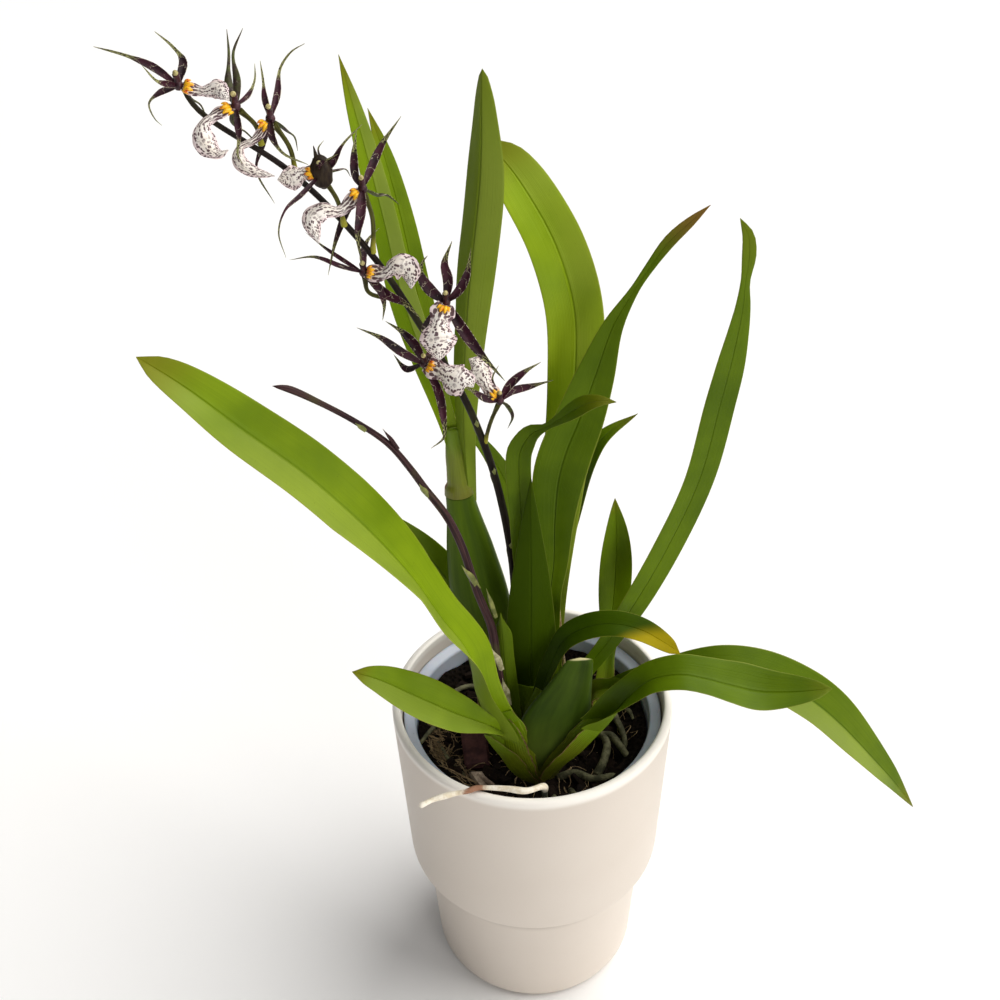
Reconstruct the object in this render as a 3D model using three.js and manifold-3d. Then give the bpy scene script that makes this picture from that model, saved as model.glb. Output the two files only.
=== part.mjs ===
// Potted oncidium orchid: a spider-flowered plant in a plain two-step cover pot.
// Millimetres, +Z up, origin at the middle of the pot's flat underside.
// The plant's front, where the blooms look, is towards -Y.
import * as THREE from 'three';
import { mergeVertices } from 'three/addons/utils/BufferGeometryUtils.js';
import Module from 'manifold-3d';

const wasm = await Module();
wasm.setup();

// Driving dimensions

const POT_RIM_RADIUS = 70;
const POT_HEIGHT = 177;
const POT_WALL = 3;
const POT_STEP_Z = 79;
const POT_STEP_RADIUS = 66.4;
const POT_FOOT_TOP_RADIUS = 58;
const POT_FOOT_RADIUS = 54.5;
const POT_SIDES = 36;

const LINER_RIM_Z = 168;
const LINER_FLANGE_RADIUS = 64.7;
const LINER_MOUTH_RADIUS = 59;
const LINER_BASE_RADIUS = 56;
const LINER_WALL = 1.2;
const LINER_SIDES = 28;
const DRAIN_HOLES = 5;
const DRAIN_RADIUS = 5;
const DRAIN_RING_RADIUS = 34;

const MIX_TOP_Z = 150;
const SOCKET_FLOOR_Z = 140;
const CLEARANCE = 0.35;

const LEAF_THICKNESS = 1.2;
const LEAF_STATIONS = 12;
const SHEATH_GAP = 0.95;
const PETAL_THICKNESS = 0.9;
const BLOOM_LEAN_DEGREES = 54.7;
const CORE_RADIUS = 2.2;
const LIP_START = 3.2;
const PEDICEL_BASE_RADIUS = 1;
const PEDICEL_TIP_RADIUS = 0.7;

// Seeded random numbers, so that every build is alike.
let seed = 20261;
function random() {
  seed = (seed * 1664525 + 1013904223) % 4294967296;
  return seed / 4294967296;
}

function between(low, high) {
  return low + (high - low) * random();
}

const vec = ([x, y, z]) => new THREE.Vector3(x, y, z);
const smooth = (t) => THREE.MathUtils.smoothstep(t, 0, 1);
const mix = THREE.MathUtils.lerp;

// Closed meshes and booleans

// One vertex at each place, no seams and no collapsed triangles.
function closed(geometry) {
  const bare = geometry.clone();
  bare.deleteAttribute('normal');
  bare.deleteAttribute('uv');
  const merged = mergeVertices(bare, 1e-4);
  const index = [];
  for (let i = 0; i < merged.index.count; i += 3) {
    const [a, b, c] = [0, 1, 2].map((k) => merged.index.getX(i + k));
    if (a !== b && b !== c && c !== a) index.push(a, b, c);
  }
  merged.setIndex(index);
  return merged;
}

function toSolid(geometry) {
  const mesh = closed(geometry);
  return new wasm.Manifold(new wasm.Mesh({
    numProp: 3,
    vertProperties: new Float32Array(mesh.attributes.position.array),
    triVerts: new Uint32Array(mesh.index.array),
  }));
}

function fromSolid(solid) {
  const mesh = solid.getMesh();
  const geometry = new THREE.BufferGeometry();
  const places = new Float32Array(mesh.vertProperties);
  geometry.setAttribute('position', new THREE.BufferAttribute(places, 3));
  geometry.setIndex(Array.from(mesh.triVerts));
  return geometry;
}

function fuse(geometries) {
  const solids = geometries.map(toSolid);
  return fromSolid(solids.reduce((all, next) => all.add(next)));
}

function carve(geometry, cutters) {
  const solids = cutters.map(toSolid);
  return fromSolid(solids.reduce((rest, cutter) => rest.subtract(cutter), toSolid(geometry)));
}

// Shapes along a curve

function curveThrough(points) {
  return new THREE.CatmullRomCurve3(points.map(vec), false, 'centripetal');
}

// Place, side direction and face direction at one station of a curve.
function stationAt(curve, faces, t) {
  const place = curve.getPointAt(t);
  const along = curve.getTangentAt(t);
  const slot = t * (faces.length - 1);
  const first = Math.min(Math.floor(slot), faces.length - 2);
  const face = vec(faces[first]).lerp(vec(faces[first + 1]), slot - first);
  face.addScaledVector(along, -face.dot(along)).normalize();
  const side = along.clone().cross(face);
  return { place, side, face };
}

// Half width of a leaf or petal: base, fullest place and a narrow tip.
function bladeHalfWidth(t, { base, full, peak, tip = 0.6, blunt = 2 }) {
  if (t < peak) return mix(base, full, smooth(t / peak));
  const s = (t - peak) / (1 - peak);
  return mix(full, tip, s ** blunt);
}

// A thin blade folded along its midrib. Both faces share one set of triangles.
function blade({ points, faces, shape, fold, thick, along = 12, across = 2 }) {
  const curve = curveThrough(points);
  const foldAngle = THREE.MathUtils.degToRad(fold);
  const positions = [];
  const row = across + 1;
  const count = (along + 1) * row;
  for (const sideOfSheet of [0.5, -0.5]) {
    for (let i = 0; i <= along; i += 1) {
      const t = i / along;
      const { place, side, face } = stationAt(curve, faces, t);
      const half = bladeHalfWidth(t, shape);
      for (let j = 0; j <= across; j += 1) {
        const s = (2 * j) / across - 1;
        const vertex = place.clone()
          .addScaledVector(side, s * half * Math.cos(foldAngle))
          .addScaledVector(face, Math.abs(s) * half * Math.sin(foldAngle) + sideOfSheet * thick);
        positions.push(vertex.x, vertex.y, vertex.z);
      }
    }
  }
  const index = [];
  for (let i = 0; i < along; i += 1) {
    for (let j = 0; j < across; j += 1) {
      const a = i * row + j;
      const [b, c, d] = [a + 1, a + row, a + row + 1];
      index.push(a, b, c, b, d, c);
      index.push(a + count, c + count, b + count, b + count, c + count, d + count);
    }
  }
  const border = [];
  for (let j = 0; j < across; j += 1) border.push(j);
  for (let i = 0; i < along; i += 1) border.push(i * row + across);
  for (let j = across; j > 0; j -= 1) border.push(along * row + j);
  for (let i = along; i > 0; i -= 1) border.push(i * row);
  border.forEach((a, k) => {
    const b = border[(k + 1) % border.length];
    index.push(a, a + count, b, b, a + count, b + count);
  });
  const geometry = new THREE.BufferGeometry();
  geometry.setAttribute('position', new THREE.Float32BufferAttribute(positions, 3));
  geometry.setIndex(index);
  return geometry;
}

// A closed rod of oval section, its two half widths given as functions of t.
function rod({ points, faces, wide, thin = wide, sides = 6, steps = 10 }) {
  const curve = curveThrough(points);
  const geometry = new THREE.CylinderGeometry(1, 1, 1, sides, steps);
  const position = geometry.attributes.position;
  for (let i = 0; i < position.count; i += 1) {
    const t = position.getY(i) + 0.5;
    const { place, side, face } = stationAt(curve, faces, t);
    place.addScaledVector(side, position.getX(i) * wide(t));
    place.addScaledVector(face, position.getZ(i) * thin(t));
    position.setXYZ(i, place.x, place.y, place.z);
  }
  return geometry;
}

// A round stem is seen from the front, so its face direction can stay -Y.
const FRONT = [[0, -1, 0.1], [0, -1, 0.1]];

function stem(points, startRadius, endRadius, steps, sides = 6) {
  return rod({ points, faces: FRONT, wide: (t) => mix(startRadius, endRadius, t), sides, steps });
}

// Materials, one for each piece of the plant and the pot

function material(color, roughness) {
  return new THREE.MeshStandardMaterial({ color, roughness, metalness: 0 });
}

const POT_CREAM = [0xe4d8c8, 0.35];
const LINER_FROST = [0xb9c2cf, 0.4];
const BARK_DARK = [0x2a2119, 0.9];
const BULB_GREEN = [0x355018, 0.4];
const LEAF_GREEN = [0x4c7a10, 0.35];
const STEM_DARK = [0x33212a, 0.45];
const TEPAL_DARK = [0x3a1c28, 0.45];
const LIP_WHITE = [0xeae0d4, 0.5];
const ROOT_PALE = [0xd8c9ad, 0.8];
const STRAW = [0xb79a6d, 0.8];

const orchid = new THREE.Group();

function addPiece(name, geometry, [color, roughness], parent = orchid) {
  const mesh = new THREE.Mesh(geometry, material(color, roughness));
  mesh.name = name;
  parent.add(mesh);
  return mesh;
}

function lathe(profile, sides) {
  const outline = profile.map(([radius, z]) => new THREE.Vector2(radius, z));
  const geometry = new THREE.LatheGeometry(outline, sides);
  geometry.rotateX(Math.PI / 2);
  return geometry;
}

// The pot: a narrow foot, a step with an inner shelf, and a rounded rim

function makePot() {
  const shelfRadius = POT_FOOT_TOP_RADIUS - POT_WALL - 1;
  const innerStep = POT_STEP_RADIUS - POT_WALL;
  const innerRim = POT_RIM_RADIUS - 4;
  const profile = [
    [0, 0],
    [POT_FOOT_RADIUS - 6, 0],
    [POT_FOOT_RADIUS - 2, 1.6],
    [POT_FOOT_RADIUS, 6],
    [POT_FOOT_TOP_RADIUS, POT_STEP_Z - 3],
    [POT_FOOT_TOP_RADIUS + 1.5, POT_STEP_Z],
    [POT_STEP_RADIUS - 2.4, POT_STEP_Z],
    [POT_STEP_RADIUS, POT_STEP_Z + 3.5],
    [POT_RIM_RADIUS, POT_HEIGHT - 3],
    [POT_RIM_RADIUS - 0.8, POT_HEIGHT - 0.8],
    [POT_RIM_RADIUS - 2, POT_HEIGHT],
    [innerRim + 0.8, POT_HEIGHT - 0.6],
    [innerRim, POT_HEIGHT - 2.5],
    [innerStep, POT_STEP_Z + POT_WALL + 2],
    [innerStep - 2, POT_STEP_Z + POT_WALL],
    [shelfRadius, POT_STEP_Z + POT_WALL],
    [POT_FOOT_RADIUS - POT_WALL, POT_WALL],
    [0, POT_WALL],
  ];
  return lathe(profile, POT_SIDES);
}

// The frosted nursery pot that stands on the shelf, with drain holes in its floor

const LINER_FLOOR_Z = POT_STEP_Z + POT_WALL + CLEARANCE;

function makeLiner() {
  const outerTop = LINER_MOUTH_RADIUS + LINER_WALL;
  const profile = [
    [0, LINER_FLOOR_Z],
    [LINER_BASE_RADIUS, LINER_FLOOR_Z],
    [LINER_BASE_RADIUS + 1, LINER_FLOOR_Z + 2],
    [outerTop, LINER_RIM_Z - 4],
    [LINER_FLANGE_RADIUS - 1, LINER_RIM_Z - 2.2],
    [LINER_FLANGE_RADIUS, LINER_RIM_Z - 1],
    [LINER_FLANGE_RADIUS - 0.3, LINER_RIM_Z],
    [LINER_MOUTH_RADIUS, LINER_RIM_Z - 2.6],
    [LINER_BASE_RADIUS, LINER_FLOOR_Z + LINER_WALL + 2],
    [LINER_BASE_RADIUS - 1.5, LINER_FLOOR_Z + LINER_WALL],
    [0, LINER_FLOOR_Z + LINER_WALL],
  ];
  const drains = [];
  for (let k = 0; k < DRAIN_HOLES; k += 1) {
    const angle = (k / DRAIN_HOLES) * 2 * Math.PI;
    const drain = new THREE.CylinderGeometry(DRAIN_RADIUS, DRAIN_RADIUS, 8, 8);
    drain.rotateX(Math.PI / 2);
    const [x, y] = [Math.cos(angle) * DRAIN_RING_RADIUS, Math.sin(angle) * DRAIN_RING_RADIUS];
    drain.translate(x, y, LINER_FLOOR_Z);
    drains.push(drain);
  }
  return carve(lathe(profile, LINER_SIDES), drains);
}

// Where each growth and stem stands in the mix: middle and half widths of its socket

const SOCKETS = {
  front: { x: 5, y: -31, wide: 11, deep: 6.5 },
  back: { x: -22, y: 5, wide: 12, deep: 9 },
  centre: { x: 9, y: -1, wide: 10, deep: 8 },
  right: { x: 34, y: 4, wide: 8, deep: 6.5 },
  spike: { x: -6, y: -5, wide: 2.6, deep: 2.6 },
  budSpike: { x: -13, y: -19, wide: 2.8, deep: 2.8 },
  straw: { x: 25, y: 10, wide: 0.9, deep: 0.9 },
};

// An upright oval post from the socket's floor to a given height.
function socketPost({ x, y, wide, deep }, bottom, top, grow, sides = 12) {
  const post = new THREE.CylinderGeometry(1, 1, top - bottom, sides);
  post.rotateX(Math.PI / 2);
  post.scale(wide + grow, deep + grow, 1);
  post.translate(x, y, (top + bottom) / 2);
  return post;
}

// The potting mix: a filled cone with a rough top, bark chips and surface roots

const MIX_RADIUS = 57.5;
const CHIP_SPREAD = 46;
const CHIP_COUNT = 15;

function insideSocket(x, y, margin) {
  return Object.values(SOCKETS).some((socket) => {
    const dx = (x - socket.x) / (socket.wide + margin);
    const dy = (y - socket.y) / (socket.deep + margin);
    return dx * dx + dy * dy < 1;
  });
}

function barkChip(x, y) {
  const size = between(4, 8);
  const chip = new THREE.BoxGeometry(size * between(1.2, 1.9), size, between(2.5, 4.5));
  chip.rotateX(between(-0.35, 0.35));
  chip.rotateY(between(-0.35, 0.35));
  chip.rotateZ(between(0, Math.PI));
  chip.translate(x, y, MIX_TOP_Z + between(-0.8, 0.9));
  return chip;
}

// Roots that lie over the mix, each as a few places and a radius.
const SURFACE_ROOTS = [
  { points: [[16, -33, 149], [26, -36, 152], [34, -36, 151.5], [42, -30, 148]], radius: 1.9 },
  { points: [[24, -22, 149], [32, -20, 152.5], [36, -10, 152.5], [46, -9, 151.5], [50, -14, 148]], radius: 2 },
  { points: [[44, 12, 148], [45, 2, 152], [48, -3, 152], [49, -6, 148]], radius: 1.4 },
  { points: [[-22, 34, 149], [-34, 32, 152], [-44, 24, 152], [-50, 16, 148]], radius: 1.8 },
  { points: [[-34, -28, 148], [-42, -20, 152], [-47, -10, 152], [-49, 0, 148]], radius: 1.3 },
];

function makeMix() {
  const bottom = LINER_FLOOR_Z + LINER_WALL + CLEARANCE;
  const rings = 5;
  const profile = [[0, bottom], [LINER_BASE_RADIUS - 3.2, bottom], [LINER_BASE_RADIUS - 0.6, bottom + 3]];
  for (let k = rings; k >= 0; k -= 1) profile.push([(MIX_RADIUS * k) / rings, MIX_TOP_Z]);
  const body = lathe(profile, LINER_SIDES);
  const position = body.attributes.position;
  for (let i = 0; i < position.count; i += 1) {
    const [x, y] = [position.getX(i), position.getY(i)];
    if (position.getZ(i) < MIX_TOP_Z - 1 || Math.hypot(x, y) > MIX_RADIUS - 1) continue;
    const bump = 1.3 * Math.sin(x * 0.31 + 1.7 * Math.sin(y * 0.23)) * Math.cos(y * 0.27);
    position.setZ(i, MIX_TOP_Z + bump);
  }
  const chips = [];
  while (chips.length < CHIP_COUNT) {
    const [x, y] = [between(-CHIP_SPREAD, CHIP_SPREAD), between(-CHIP_SPREAD, CHIP_SPREAD)];
    if (Math.hypot(x, y) < CHIP_SPREAD && !insideSocket(x, y, 8)) chips.push(barkChip(x, y));
  }
  const roots = SURFACE_ROOTS.map(({ points, radius }) => stem(points, radius, radius * 0.8, 6, 5));
  const sockets = Object.values(SOCKETS).map((socket) => (
    socketPost(socket, SOCKET_FLOOR_Z, MIX_TOP_Z + 12, CLEARANCE + 0.15)
  ));
  return carve(fuse([body, ...chips, ...roots]), sockets);
}

// Leaves: a hand-placed spine, the way the upper face looks along it, and its widths

const LEAVES = {
  leaf_long_left: {
    growth: 'front',
    points: [[-14, -38, 196], [-25, -39, 226], [-50, -37, 270], [-99, -30, 332], [-151, -24, 386]],
    faces: [[0.75, -0.6, 0.2], [0.5, -0.6, 0.6], [0.4, -0.5, 0.75]],
    shape: { base: 7, full: 14.5, peak: 0.42, blunt: 2.1 },
    fold: 26,
  },
  leaf_short_left: {
    growth: 'front',
    points: [[-19, -46, 190], [-30, -48, 207], [-55, -51, 234], [-79, -53, 246]],
    faces: [[0.5, -0.75, 0.4], [0.3, -0.65, 0.7]],
    shape: { base: 5, full: 9.5, peak: 0.4, blunt: 2 },
    fold: 24,
  },
  leaf_behind_left: {
    growth: 'back',
    points: [[-28, 24, 186], [-34, 27, 214], [-44, 28, 236], [-67, 30, 271]],
    faces: [[0.5, -0.8, 0.2], [0.4, -0.8, 0.5]],
    shape: { base: 6, full: 10, peak: 0.45, blunt: 2 },
    fold: 20,
  },
  leaf_top_outer: {
    growth: 'back',
    points: [[-32, 18, 285.7], [-34, 20, 316], [-51, 23, 378], [-62, 30, 449], [-69, 33, 481]],
    faces: [[0.35, -0.9, 0.1], [0.5, -0.85, 0.2]],
    shape: { base: 3.5, full: 6.5, peak: 0.5, blunt: 1.7 },
    fold: 30,
  },
  leaf_top_inner: {
    growth: 'back',
    points: [[-31, 22.2, 285.7], [-32, 26, 311], [-42, 36, 370], [-54, 42, 437], [-61, 45, 457]],
    faces: [[0.35, -0.9, 0.1], [0.5, -0.85, 0.2]],
    shape: { base: 3.5, full: 6.5, peak: 0.5, blunt: 1.7 },
    fold: 28,
  },
  leaf_tall_centre: {
    growth: 'back',
    points: [[-27, 14, 285.8], [-28, 14.5, 330], [-24, 13, 385], [-17, 13, 440], [-15, 16, 479]],
    faces: [[-0.3, -0.9, 0.1], [-0.35, -0.9, 0.25]],
    shape: { base: 4.5, full: 9.5, peak: 0.6, blunt: 2.6 },
    fold: 28,
  },
  leaf_arching_back: {
    growth: 'centre',
    points: [
      [10, 11, 190], [11, 18, 229], [16, 28, 280], [22, 39, 345], [15, 47, 397], [-4, 61, 431], [-18, 71, 434],
    ],
    faces: [[-0.2, -1, 0], [-0.1, -1, 0.3], [0.2, -0.8, 0.8]],
    shape: { base: 6.5, full: 12.6, peak: 0.6, blunt: 3.4 },
    fold: 14,
  },
  leaf_twisted: {
    growth: 'centre',
    points: [
      [11, 3, 190], [14, 7, 238], [17, 14, 302], [27, 17, 351], [44, 18, 387], [59, 18, 407], [74, 18, 423],
    ],
    faces: [
      [-0.1, -1, 0], [-0.15, -1, 0], [-0.2, -1, 0], [-0.5, -0.8, 0], [-0.95, -0.1, 0.2], [-0.5, -0.8, 0.5],
    ],
    shape: { base: 6, full: 13, peak: 0.5, blunt: 1.5 },
    fold: 14,
  },
  leaf_bent: {
    growth: 'centre',
    points: [[1, -3, 190], [-3, -4, 277], [-4, -5, 308], [2, -10, 334], [15, -15, 347], [34, -20, 357]],
    faces: [[0.2, 1, 0.1], [0.4, 0.9, 0.2], [-0.5, -0.3, 0.8], [-0.3, -0.5, 0.9]],
    shape: { base: 6, full: 8, peak: 0.55, blunt: 1.8 },
    fold: 16,
  },
  leaf_pointed: {
    growth: 'centre',
    points: [[3, -11, 186], [2, -12, 225], [1, -12, 270], [2, -10, 315]],
    faces: [[0, 1, 0], [0.1, 1, 0.1]],
    shape: { base: 9, full: 11, peak: 0.25, blunt: 1.3 },
    fold: 16,
  },
  leaf_behind_right: {
    growth: 'centre',
    points: [[20, 19, 190], [22, 25, 225], [26, 30, 265], [37, 36, 303], [52, 42, 314]],
    faces: [[-0.4, -0.9, 0], [-0.6, -0.6, 0.6]],
    shape: { base: 5, full: 8, peak: 0.5, blunt: 2 },
    fold: 22,
  },
  leaf_small_right: {
    growth: 'right',
    points: [[38, 12, 190], [41, 19, 221], [42, 24, 256], [41, 27, 277]],
    faces: [[0, -1, 0.1], [0, -1, 0.2]],
    shape: { base: 4, full: 7.5, peak: 0.5, blunt: 2 },
    fold: 24,
  },
  leaf_behind_spike: {
    growth: 'centre',
    points: [[2, 9, 190], [0, 12, 230], [-5, 16, 277], [-17, 19, 308], [-33, 23, 328]],
    faces: [[0.1, -1, 0], [0.5, -0.6, 0.6]],
    shape: { base: 5, full: 7, peak: 0.5, blunt: 2 },
    fold: 20,
  },
  leaf_long_right: {
    growth: 'centre',
    points: [[22, -4, 191], [47, 3, 227], [70, 12, 268], [87, 19, 322], [94, 24, 384], [89, 26, 414]],
    faces: [[0.3, -1, 0.2], [0.5, -0.9, -0.2], [0.3, -0.9, 0.1], [-0.9, -0.4, 0]],
    shape: { base: 6, full: 10.8, peak: 0.4, blunt: 2.8 },
    fold: 14,
  },
  leaf_yellow_tip: {
    growth: 'centre',
    points: [[15, -16, 187], [14, -17, 210], [20, -17, 225], [34, -19, 234], [56, -23, 229], [68, -25, 224]],
    faces: [[-0.8, -0.5, 0], [-0.8, -0.5, 0.4], [0, -0.5, 0.8], [0.4, -0.5, 0.75]],
    shape: { base: 4.5, full: 7.5, peak: 0.65, blunt: 2.4 },
    fold: 20,
  },
  leaf_front_right: {
    growth: 'front',
    points: [[28, -38, 196], [39, -41, 215], [60, -43, 230], [92, -45, 222], [133, -48, 222]],
    faces: [[-0.6, -0.7, 0.4], [-0.3, -0.6, 0.8], [0.1, -0.5, 0.9], [0.1, -0.4, 0.9]],
    shape: { base: 5.5, full: 11, peak: 0.6, blunt: 2.2 },
    fold: 26,
  },
  leaf_drooping_right: {
    growth: 'right',
    points: [[40, -4, 184], [54, -12, 198], [91, -15, 207], [133, -14, 184], [179, -15, 131], [199, -16, 103]],
    faces: [[-0.5, -0.4, 0.7], [0, -0.4, 0.9], [0.3, -0.5, 0.8], [0.5, -0.5, 0.7]],
    shape: { base: 5.5, full: 14, peak: 0.52, blunt: 1.9 },
    fold: 22,
  },
};

function makeLeaf({ points, faces, shape, fold }) {
  return blade({ points, faces, shape, fold, thick: LEAF_THICKNESS, along: LEAF_STATIONS });
}

// The sheath that carries a leaf, from the growth's socket to just under the blade.
function makeSheath({ growth, points, faces, shape }) {
  const socket = SOCKETS[growth];
  const start = vec(points[0]);
  const rise = vec(points[1]).sub(start).normalize();
  const top = start.clone().addScaledVector(rise, -SHEATH_GAP);
  const shoulder = top.clone().addScaledVector(rise, -12);
  const foot = new THREE.Vector3(mix(socket.x, start.x, 0.2), mix(socket.y, start.y, 0.2), MIX_TOP_Z + 5);
  return rod({
    points: [foot.toArray(), shoulder.toArray(), top.toArray()],
    faces: [faces[0], faces[0]],
    wide: (t) => mix(socket.wide * 0.6, shape.base * 0.9, t),
    thin: (t) => mix(socket.deep * 0.5, 1.8, t),
    sides: 6,
    steps: 3,
  });
}

function sheathsOf(growth) {
  return Object.values(LEAVES).filter((leaf) => leaf.growth === growth).map(makeSheath);
}

// Growths: flattened bulbs and sheaths fused over the post that stands in the mix

function growthPost(name) {
  return socketPost(SOCKETS[name], SOCKET_FLOOR_Z + CLEARANCE, MIX_TOP_Z + 8, 0);
}

function makeFrontGrowth() {
  const bulb = rod({
    points: [[6, -31, 152], [14, -31, 186], [24, -30, 226]],
    faces: [[0.15, -1, 0.1], [0.15, -1, 0.1]],
    wide: (t) => 4.5 + 11 * Math.sin(Math.PI * t ** 0.9) ** 0.8,
    thin: (t) => 3.2 + 2.6 * Math.sin(Math.PI * t),
    sides: 10,
    steps: 9,
  });
  return fuse([growthPost('front'), bulb, ...sheathsOf('front')]);
}

function makeBackGrowth() {
  const bulb = rod({
    points: [[-22, 6, 152], [-25, 11, 200], [-28, 16, 250], [-31, 16.5, 280], [-31.5, 16.5, 284]],
    faces: [[0.1, -1, 0.1], [0.1, -1, 0.1]],
    wide: (t) => 6.2 + 8.5 * Math.sin(Math.PI * Math.min(1, t * 1.05)) ** 0.8,
    thin: (t) => 6 + 3.4 * Math.sin(Math.PI * Math.min(1, t * 1.05)),
    sides: 12,
    steps: 10,
  });
  const ring = new THREE.CylinderGeometry(7.2, 7.4, 4, 12);
  ring.rotateX(Math.PI / 2);
  ring.translate(-31, 16.5, 283);
  return fuse([growthPost('back'), bulb, ring, makeSheath(LEAVES.leaf_behind_left)]);
}

function makeSheathGrowth(name) {
  return fuse([growthPost(name), ...sheathsOf(name)]);
}

// Flower spike: the stem runs up and over to the left, with short swollen joints

const SPIKE_POINTS = [
  [-6, -5, 150], [-7, 3, 211], [-8, 6, 255], [-13, 4, 296], [-19, -2, 327], [-27, -9, 356], [-41, -16, 390],
  [-58, -22, 425], [-82, -26, 457], [-109, -30, 480], [-113.6, -30, 486.9],
];

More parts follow.
